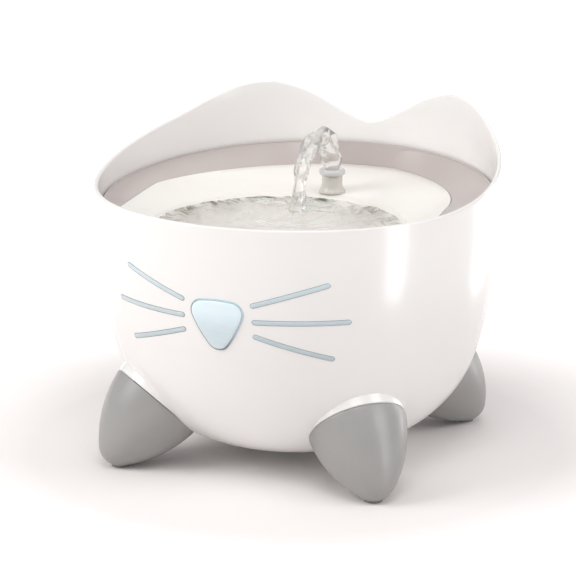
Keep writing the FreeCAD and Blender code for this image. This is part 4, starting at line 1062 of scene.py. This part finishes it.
class FOUNTAIN_OT_dish(bpy.types.Operator):
    """Make the cream drinking dish with its pool, overflow slots, funnel and basket hooks"""
    bl_idname = "fountain.make_dish"
    bl_label = "Dish"

    def execute(self, context):
        bm = bmesh.new()
        columns = 480
        top_rows, slot_rows = self.top_rows(columns)
        under = Vector((0.0, 0.0, -DISH_THICKNESS))
        bottom_rows = [[point + under for point in row] for row in top_rows]
        rows = top_rows + list(reversed(bottom_rows))
        last = len(rows) - 1
        in_slot = self.slot_columns(columns)
        slot_top = slot_rows
        slot_bottom = last - 1 - slot_rows

        def skip(i, j):
            return in_slot[j] and i in (slot_top, slot_bottom)

        grid = add_rows(bm, rows, closed_columns=True, skip=skip)
        self.close_slots(bm, grid, in_slot, slot_top, slot_bottom)
        hole = bmesh.new()
        turned(hole, STEM_HOLE, 96, Matrix.Translation((0.0, SPOUT_Y, 0.0)))
        bm = cut_out(bm, hole)
        sector(bm, [(83.0, 137.5), (85.0, 137.5), (85.0, 143.5), (83.0, 143.5)], -90.0, 100.0, 40)
        sector(bm, [(65.5, 125.6), (84.0, 136.6), (84.0, 138.8), (65.5, 127.8)], -90.0, 100.0, 40)
        low = HOOK_BOTTOM
        for angle in HOOK_ANGLES:
            sector(bm, [(63.8, low), (69.0, low), (69.0, 137.4), (66.4, 137.4),
                        (66.4, low + 2.2), (63.8, low + 2.2)], angle, 18.0, 10)
        finish = dish_finish(context.scene.fountain_colours.dish)
        mesh_piece("cream_dish", bm, [finish], "tray", ["drinking_dish"], 40.0)
        return {"FINISHED"}

    def top_rows(self, columns):
        """Rows of the dish's upper face from its edge to the middle of the pool."""
        angles = [2 * math.pi * step / columns for step in range(columns)]
        rows = []

        def floor_point(angle, share, drop=0.0, inset=0.3):
            edge = dish_edge_radius(angle, inset)
            rim = POOL_RADIUS + 0.9
            reach = edge + (rim - edge) * share
            edge_y = POOL_Y + edge * math.sin(angle)
            top = dish_edge_height(edge_y)
            height = top + (POOL_RIM - top) * share - drop
            return Vector((reach * math.cos(angle), POOL_Y + reach * math.sin(angle), height))

        rows.append([floor_point(a, 0.0, 0.55) for a in angles])
        rows.append([floor_point(a, 0.0, 0.18, 0.45) for a in angles])
        rows.append([floor_point(a, 0.0, 0.0, 0.85) for a in angles])
        for share in (0.12, 0.26, 0.4, 0.54, 0.66):
            rows.append([floor_point(a, share) for a in angles])
        slot_row = len(rows)
        for reach in (79.0, 75.5):
            rows.append([self.at_reach(a, reach) for a in angles])
        for reach, height in ((74.3, 143.99), (73.6, 143.9), (73.1, 143.6), (72.75, 143.1)):
            rows.append([self.at_height(a, reach, height) for a in angles])
        side = self.pool_side()
        for reach, height in side:
            rows.append([self.at_height(a, reach, height) for a in angles])
        for reach in (POOL_FLOOR_RADIUS * 0.75, POOL_FLOOR_RADIUS * 0.5, 12.0, 0.0):
            rows.append([self.at_height(a, reach, POOL_FLOOR) for a in angles])
        return rows, slot_row

    def pool_side(self):
        """The pool's side arc from just under its rim down to the floor."""
        start = Vector((POOL_RADIUS, POOL_RIM))
        end = Vector((POOL_FLOOR_RADIUS, POOL_FLOOR))
        chord = end - start
        mid = (start + end) / 2
        side = Vector((chord.y, -chord.x)).normalized()
        centre = mid + side * math.sqrt(POOL_SIDE_ARC ** 2 - chord.length_squared / 4)
        if centre.y < mid.y:
            centre = mid - side * math.sqrt(POOL_SIDE_ARC ** 2 - chord.length_squared / 4)
        first = math.degrees(math.atan2(start.y - centre.y, start.x - centre.x))
        last = math.degrees(math.atan2(end.y - centre.y, end.x - centre.x))
        return arc(centre, POOL_SIDE_ARC, first + (last - first) * 0.06, last, 16)

    def at_reach(self, angle, reach):
        """A point of the sloping floor near the pool."""
        edge = dish_edge_radius(angle, 0.3)
        rim = POOL_RADIUS + 0.9
        top = dish_edge_height(POOL_Y + edge * math.sin(angle))
        share = (edge - reach) / (edge - rim)
        return self.at_height(angle, reach, top + (POOL_RIM - top) * share)

    def at_height(self, angle, reach, height):
        return Vector((reach * math.cos(angle), POOL_Y + reach * math.sin(angle), height))

    def slot_columns(self, columns):
        """True for each column of faces that an overflow slot takes out."""
        step = 360.0 / columns
        marks = []
        for column in range(columns):
            angle = ((column + 0.5) * step + 90.0 + 180.0) % 360.0 - 180.0
            off = (angle + SLOT_PITCH / 2) % SLOT_PITCH - SLOT_PITCH / 2
            marks.append(abs(angle) < SLOT_REACH and abs(off) < SLOT_SPAN / 2)
        return marks

    def close_slots(self, bm, grid, in_slot, slot_top, slot_bottom):
        """Walls of the slots between the upper and the under face."""
        count = len(in_slot)
        upper_out, upper_in = grid[slot_top], grid[slot_top + 1]
        under_in, under_out = grid[slot_bottom], grid[slot_bottom + 1]
        for j in range(count):
            if not in_slot[j]:
                continue
            k = (j + 1) % count
            bm.faces.new((upper_out[j], upper_out[k], under_out[k], under_out[j]))
            bm.faces.new((upper_in[k], upper_in[j], under_in[j], under_in[k]))
            if not in_slot[j - 1]:
                bm.faces.new((upper_in[j], upper_out[j], under_out[j], under_in[j]))
            if not in_slot[k]:
                bm.faces.new((upper_out[k], upper_in[k], under_in[k], under_out[k]))


class FOUNTAIN_OT_spout(bpy.types.Operator):
    """Make the spout's stem and the glossy ring on it"""
    bl_idname = "fountain.make_spout"
    bl_label = "Spout"

    def execute(self, context):
        colours = context.scene.fountain_colours
        place = Matrix.Translation((0.0, SPOUT_Y, 0.0))
        stem = [(5.35, 128.0), (6.2, 128.0), (6.4, 128.3), (6.4, 140.8), (10.1, 141.0),
                (10.1, 142.8), (6.4, 142.8), (6.4, 145.0), (8.1, 145.0)]
        stem += arc((14.1, 151.0), 7.8, -140.0, -180.0, 10)
        stem += [(6.35, 153.0), (6.4, 155.8), (6.2, 156.0), (5.35, 156.0)]
        bm = bmesh.new()
        turned(bm, stem, 96, place, closed=True)
        stem_finish = clear_finish("stem_cream", (0.86, 0.83, 0.77), 0.08, 0.08, 0.3)
        mesh_piece("stem", bm, [stem_finish], "tray", ["spout_stem"])
        ring = [(4.25, 156.0), (6.6, 156.0)] + arc((6.9, 157.2), 1.2, -90.0, 0.0, 8)
        ring += arc((6.6, 158.1), 1.5, 0.0, 90.0, 8) + arc((5.5, 158.4), 1.2, 90.0, 180.0, 6)
        ring += [(4.25, 158.0)]
        bm = bmesh.new()
        turned(bm, ring, 112, place, closed=True)
        ring_finish = moulded("nozzle_grey", colours.nozzle, 0.16, 0.04, 1200.0, 0.06, 0.5)
        mesh_piece("nozzle_ring", bm, [ring_finish], "tray", ["spout_nozzle"])
        return {"FINISHED"}


class FOUNTAIN_OT_water(bpy.types.Operator):
    """Make the rippled pool, the falling jet and the drops that it throws up"""
    bl_idname = "fountain.make_water"
    bl_label = "Water"

    def execute(self, context):
        sizes = context.scene.fountain_sizes
        level = sizes.water_level / MM
        ripple = sizes.ripple / MM
        self.make_pool(level, ripple, pool_finish())
        clear = water_finish("jet_water", 0.015, 0.75).material
        self.make_jet(clear)
        self.make_drops(level, clear)
        return {"FINISHED"}

    def surface(self, x, y, level, ripple):
        """Height of the water at a place: rings from the landing, crossed by wind-like waves."""
        away = math.hypot(x, y - LANDING_Y)
        turn = math.atan2(y - LANDING_Y, x)
        wander = noise.noise(Vector((x * 0.035, y * 0.035, 3.1)))
        fade = math.exp(-away / 60.0)
        rings = math.cos(away * 0.62 + wander * 3.6 + 0.5 * math.sin(3 * turn)) * fade
        swell = noise.noise(Vector((x * 0.07, y * 0.05, 7.7)))
        chop = noise.noise(Vector((x * 0.17, y * 0.13, 1.3)))
        height = ripple * (rings * 1.15 + swell * 0.9 + chop * 0.45)
        mound = 1.6 * math.exp(-((away - 6.4) / 2.4) ** 2) - 1.2 * math.exp(-(away / 4.0) ** 2)
        height += mound * (0.8 + 0.35 * math.sin(5 * turn + 0.7))
        return level + height

    def make_pool(self, level, ripple, finish):
        bm = bmesh.new()
        columns = 300
        rows = []
        reach = POOL_RADIUS - 0.35
        ring_count = 110
        low = POOL_FLOOR - 0.4
        bottom = [(POOL_FLOOR_RADIUS * 0.5, low), (POOL_FLOOR_RADIUS, low),
                  (62.0, 131.6), (68.5, 136.4), (72.6, 142.0)]
        rows.append([Vector((0.0, POOL_Y, low))] * columns)
        for r, z in bottom:
            rows.append([Vector((r * math.cos(2 * math.pi * s / columns),
                                 POOL_Y + r * math.sin(2 * math.pi * s / columns), z))
                         for s in range(columns)])
        for index in range(ring_count, -1, -1):
            r = reach * index / ring_count
            calm = min((reach - r) / 3.0, 1.0)
            row = []
            for step in range(columns):
                angle = 2 * math.pi * step / columns
                x, y = r * math.cos(angle), POOL_Y + r * math.sin(angle)
                height = self.surface(x, y, level, ripple)
                height = level + 0.25 * (1 - calm) + (height - level) * (0.35 + 0.65 * calm)
                row.append(Vector((x, y, height)))
            rows.append(row)
        add_rows(bm, rows)
        mesh_piece("pool_water", bm, [finish], "tray")

    def make_jet(self, finish):
        bm = bmesh.new()
        count = 150
        line = smooth_line(JET_LINE, count)
        around = 48
        rows = []
        for index, (y, z, reach) in enumerate(line):
            before = line[max(index - 1, 0)]
            after = line[min(index + 1, count)]
            way = Vector((0.0, after[0] - before[0], after[1] - before[1])).normalized()
            across = Vector((1.0, 0.0, 0.0))
            up = way.cross(across)
            share = index / count
            rough = min(max((share - 0.05) * 4.0, 0.0), 1.0)
            ring = []
            for step in range(around):
                turn = 2 * math.pi * step / around
                twist = turn + share * 7.0
                lobes = 0.10 * math.sin(2 * twist) + 0.07 * math.sin(3 * twist - share * 11.0)
                lumps = 0.2 * noise.noise(Vector((math.cos(turn) * 1.1, math.sin(turn) * 1.1,
                                                   share * 13.0)))
                waist = 0.07 * math.sin(share * 44.0)
                size = reach * (1.0 + rough * (lobes + lumps + waist))
                ring.append(Vector((0.0, y, z)) + (across * math.cos(turn)
                                                   + up * math.sin(turn)) * size)
            rows.append(ring)
        grid = add_rows(bm, rows)
        bm.faces.new(list(reversed(grid[0])))
        bm.faces.new(grid[-1])
        mesh_piece("water_jet", bm, [finish], "tray", crease=80.0)

    def make_drops(self, level, finish):
        """Drops thrown up round the landing, each a little stretched on its way."""
        rng = random.Random(11)
        bm = bmesh.new()
        for _ in range(DROP_COUNT):
            turn = rng.uniform(0.0, 2 * math.pi)
            away = rng.uniform(7.0, 15.0)
            size = rng.uniform(0.35, 1.0)
            height = level + 1.6 + rng.uniform(0.0, 9.0) * (1.0 - (away - 7.0) / 12.0)
            place = Matrix.Translation((away * math.cos(turn), LANDING_Y + away * math.sin(turn),
                                        height))
            lean = Matrix.Rotation(rng.uniform(-0.5, 0.5), 4, "X")
            stretch = Matrix.Diagonal((size, size, size * rng.uniform(1.1, 1.7), 1.0))
            bmesh.ops.create_icosphere(bm, subdivisions=3, radius=1.0,
                                       matrix=place @ lean @ stretch)
        mesh_piece("splash_drops", bm, [finish], "tray", crease=80.0)


# How each kept node is finished: the function and its values
INNER_FINISHES = {
    "foot_pads": (rubber_finish, "pad_rubber", (0.26, 0.255, 0.25)),
    "light_case": (moulded, "case_white", (0.78, 0.77, 0.75), 0.42, 0.03),
    "light_board": (board_finish,),
    "light_beads": (clear_finish, "light_clear", (0.95, 0.97, 1.0), 0.06, 0.05),
    "light_cover": (moulded, "cover_white", (0.74, 0.73, 0.72), 0.5, 0.03, 700.0, 0.2),
    "light_cover_screws": (metal_finish, "screw_steel", (0.62, 0.62, 0.6), 0.3,
                          (1.0, 6.0, 1.0)),
    "pump_body": (moulded, "pump_black", (0.022, 0.022, 0.024), 0.42, 0.2, 800.0, 0.4),
    "intake_cover": (moulded, "cover_black", (0.026, 0.026, 0.028), 0.5, 0.2, 700.0, 0.5),
    "flow_shutter": (moulded, "shutter_black", (0.035, 0.036, 0.04), 0.36, 0.15, 900.0, 0.3),
    "pump_shaft": (moulded, "shaft_ceramic", (0.82, 0.81, 0.77), 0.18, 0.05, 1600.0, 0.05),
    "suction_cups": (rubber_finish, "cup_rubber", (0.09, 0.095, 0.1), 0.38),
    "riser_tube": (clear_finish, "tube_silicone", (0.86, 0.87, 0.86), 0.32, 0.14),
    "power_jack": (moulded, "jack_black", (0.018, 0.018, 0.019), 0.34, 0.2, 900.0, 0.3),
    "jack_pin": (metal_finish, "pin_brass", (0.76, 0.58, 0.28), 0.24, (1.0, 8.0, 1.0)),
    "filter_basket": (clear_finish, "basket_clear", (0.84, 0.88, 0.9), 0.2, 0.12),
    "felt_pad": (felt_finish,),
    "carbon_pack": (carbon_finish,),
    "filter_lid": (clear_finish, "lid_clear", (0.84, 0.88, 0.9), 0.24, 0.12),
    "impeller": (moulded, "rotor_blue", (0.03, 0.09, 0.24), 0.34, 0.12, 900.0, 0.2),
}


class FOUNTAIN_OT_works(bpy.types.Operator):
    """Give the pump, filter, light, jack and pads their finishes"""
    bl_idname = "fountain.finish_works"
    bl_label = "Inner Works"

    def execute(self, context):
        for name, (make, *values) in INNER_FINISHES.items():
            finish = make(*values)
            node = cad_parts[name]
            for holder in node.material_slots:
                holder.material = finish
        return {"FINISHED"}


# Soft lamps: name, place, side in metres, power in watts and colour
LAMPS = (("key_softbox", (-1.15, -0.95, 1.1), 0.95, 14.5, (1.0, 0.99, 0.98)),
         ("front_softbox", (0.35, -0.75, 1.5), 0.7, 6.0, (1.0, 0.99, 0.985)),
         ("fill_softbox", (1.15, 0.0, 0.95), 0.6, 4.5, (1.0, 0.99, 0.985)),
         ("top_softbox", (-0.1, 0.5, 1.4), 1.0, 2.5, (1.0, 0.995, 0.99)))

# Strips that the camera and matt surfaces don't see, for highlights on gloss
STRIPS = {"right_strip": (0.334, -0.121, 0.12), "edge_strip": (0.268, 0.241, 0.12)}


class FOUNTAIN_OT_stage(bpy.types.Operator):
    """Make the pale floor, the soft studio light and the camera"""
    bl_idname = "fountain.make_stage"
    bl_label = "Stage"

    def execute(self, context):
        scene = context.scene
        scene.view_settings.view_transform = "Standard"
        self.make_floor()
        self.make_world(scene)
        self.make_lamps()
        self.make_camera(scene)
        return {"FINISHED"}

    def make_floor(self):
        bm = bmesh.new()
        bmesh.ops.create_circle(bm, cap_ends=True, radius=7.0, segments=96)
        mesh = bpy.data.meshes.new("studio_floor")
        bm.to_mesh(mesh)
        bm.free()
        floor = bpy.data.objects.new("studio_floor", mesh)
        bpy.context.scene.collection.objects.link(floor)
        made = Finish("floor_white")
        cloud = made.noise(3.0, 3.0)
        made.link(made.blend(made.spread(cloud, 0.0, 1.0), (0.9, 0.87, 0.865),
                             (0.92, 0.89, 0.885)), "Base Color")
        made.set(Roughness=0.85, Specular_IOR_Level=0.1)
        tree = made.tree
        rays = made.add("ShaderNodeLightPath")
        seen = self.seen_ray(made, rays)
        away = made.add("ShaderNodeVectorMath", {0: made.place}, operation="LENGTH")
        far = made.spread(away.outputs["Value"], 0.02, 0.9, 0.16, 0.5)
        lift = made.add("ShaderNodeEmission", {"Color": (1.0, 0.99, 0.985, 1.0), "Strength": far})
        none = made.add("ShaderNodeEmission", {"Strength": 0.0})
        pick = made.add("ShaderNodeMixShader", {0: seen, 1: none.outputs[0], 2: lift.outputs[0]})
        both = made.add("ShaderNodeAddShader", {0: made.shader.outputs[0], 1: pick.outputs[0]})
        tree.links.new(both.outputs[0], tree.nodes["Material Output"].inputs["Surface"])
        mesh.materials.append(made.material)

    def seen_ray(self, made, rays):
        """1 for a ray that shows the background: from the camera, off gloss or through glass."""
        first = made.calc("MAXIMUM", rays.outputs["Is Camera Ray"], rays.outputs["Is Glossy Ray"])
        return made.calc("MAXIMUM", first, rays.outputs["Is Transmission Ray"])

    def make_world(self, scene):
        world = bpy.data.worlds.new("studio")
        world.use_nodes = True
        tree = world.node_tree
        tree.nodes.clear()
        rays = tree.nodes.new("ShaderNodeLightPath")
        seen = tree.nodes.new("ShaderNodeBackground")
        seen.inputs["Color"].default_value = (1.0, 1.0, 1.0, 1.0)
        seen.inputs["Strength"].default_value = 1.0
        light = tree.nodes.new("ShaderNodeBackground")
        light.inputs["Color"].default_value = (1.0, 0.985, 0.975, 1.0)
        light.inputs["Strength"].default_value = 0.42
        pick = tree.nodes.new("ShaderNodeMixShader")
        out = tree.nodes.new("ShaderNodeOutputWorld")
        tree.links.new(rays.outputs["Is Camera Ray"], pick.inputs[0])
        tree.links.new(light.outputs[0], pick.inputs[1])
        tree.links.new(seen.outputs[0], pick.inputs[2])
        tree.links.new(pick.outputs[0], out.inputs["Surface"])
        scene.world = world

    def make_lamps(self):
        aim = (0.0, 0.0, 0.1)
        for name, place, side, power, tone in LAMPS:
            self.lamp(name, place, aim, (side, side), power, tone)
        for name, place in STRIPS.items():
            strip = self.lamp(name, place, (0.0, 0.0, 0.12), (0.06, 0.3), 0.36, (1.0, 1.0, 1.0))
            strip.visible_diffuse = False

    def lamp(self, name, place, aim, size, power, colour):
        data = bpy.data.lights.new(name, "AREA")
        data.shape = "RECTANGLE"
        data.size, data.size_y = size
        data.energy = power
        data.color = colour
        lamp = bpy.data.objects.new(name, data)
        lamp.location = place
        way = Vector(aim) - Vector(place)
        lamp.rotation_euler = way.to_track_quat("-Z", "Y").to_euler()
        lamp.visible_camera = False
        bpy.context.scene.collection.objects.link(lamp)
        return lamp

    def make_camera(self, scene):
        data = bpy.data.cameras.new("photo_camera")
        data.sensor_width = 36.0
        data.lens = 163.147
        data.clip_end = 20.0
        camera = bpy.data.objects.new("photo_camera", data)
        right = Vector((0.922739, 0.385426, 0.0))
        up = Vector((-0.101306, 0.242535, 0.964839))
        back = Vector((0.371874, -0.890294, 0.262843))
        turn = Matrix((right, up, back)).transposed().to_4x4()
        camera.matrix_world = Matrix.Translation((0.5792538, -1.4013159, 0.5106651)) @ turn
        scene.collection.objects.link(camera)
        scene.camera = camera


class FOUNTAIN_PT_panel(bpy.types.Panel):
    """Lists the pieces with their sizes and colours"""
    bl_label = "Pet Water Fountain"
    bl_idname = "FOUNTAIN_PT_panel"
    bl_space_type = "VIEW_3D"
    bl_region_type = "UI"
    bl_category = "Fountain"

    def draw(self, context):
        layout = self.layout
        column = layout.column(align=True)
        for operator in OPERATORS:
            column.operator(operator.bl_idname)
        for title, group in (("Sizes", context.scene.fountain_sizes),
                             ("Colours", context.scene.fountain_colours)):
            box = layout.box()
            box.label(text=title)
            for key in group.__annotations__:
                box.prop(group, key)


OPERATORS = (FOUNTAIN_OT_shell, FOUNTAIN_OT_feet, FOUNTAIN_OT_face, FOUNTAIN_OT_surround,
             FOUNTAIN_OT_dish, FOUNTAIN_OT_spout, FOUNTAIN_OT_water, FOUNTAIN_OT_works,
             FOUNTAIN_OT_stage)
CLASSES = (FountainSizes, FountainColours) + OPERATORS + (FOUNTAIN_PT_panel,)


def register():
    for cls in CLASSES:
        bpy.utils.register_class(cls)
    bpy.types.Scene.fountain_sizes = bpy.props.PointerProperty(type=FountainSizes)
    bpy.types.Scene.fountain_colours = bpy.props.PointerProperty(type=FountainColours)


def unregister():
    del bpy.types.Scene.fountain_colours
    del bpy.types.Scene.fountain_sizes
    for cls in reversed(CLASSES):
        bpy.utils.unregister_class(cls)


def main():
    register()
    bpy.ops.fountain.make_shell()
    bpy.ops.fountain.make_feet()
    bpy.ops.fountain.make_face()
    bpy.ops.fountain.make_surround()
    bpy.ops.fountain.make_dish()
    bpy.ops.fountain.make_spout()
    bpy.ops.fountain.make_water()
    bpy.ops.fountain.finish_works()
    bpy.ops.fountain.make_stage()


if __name__ == "__main__":
    main()
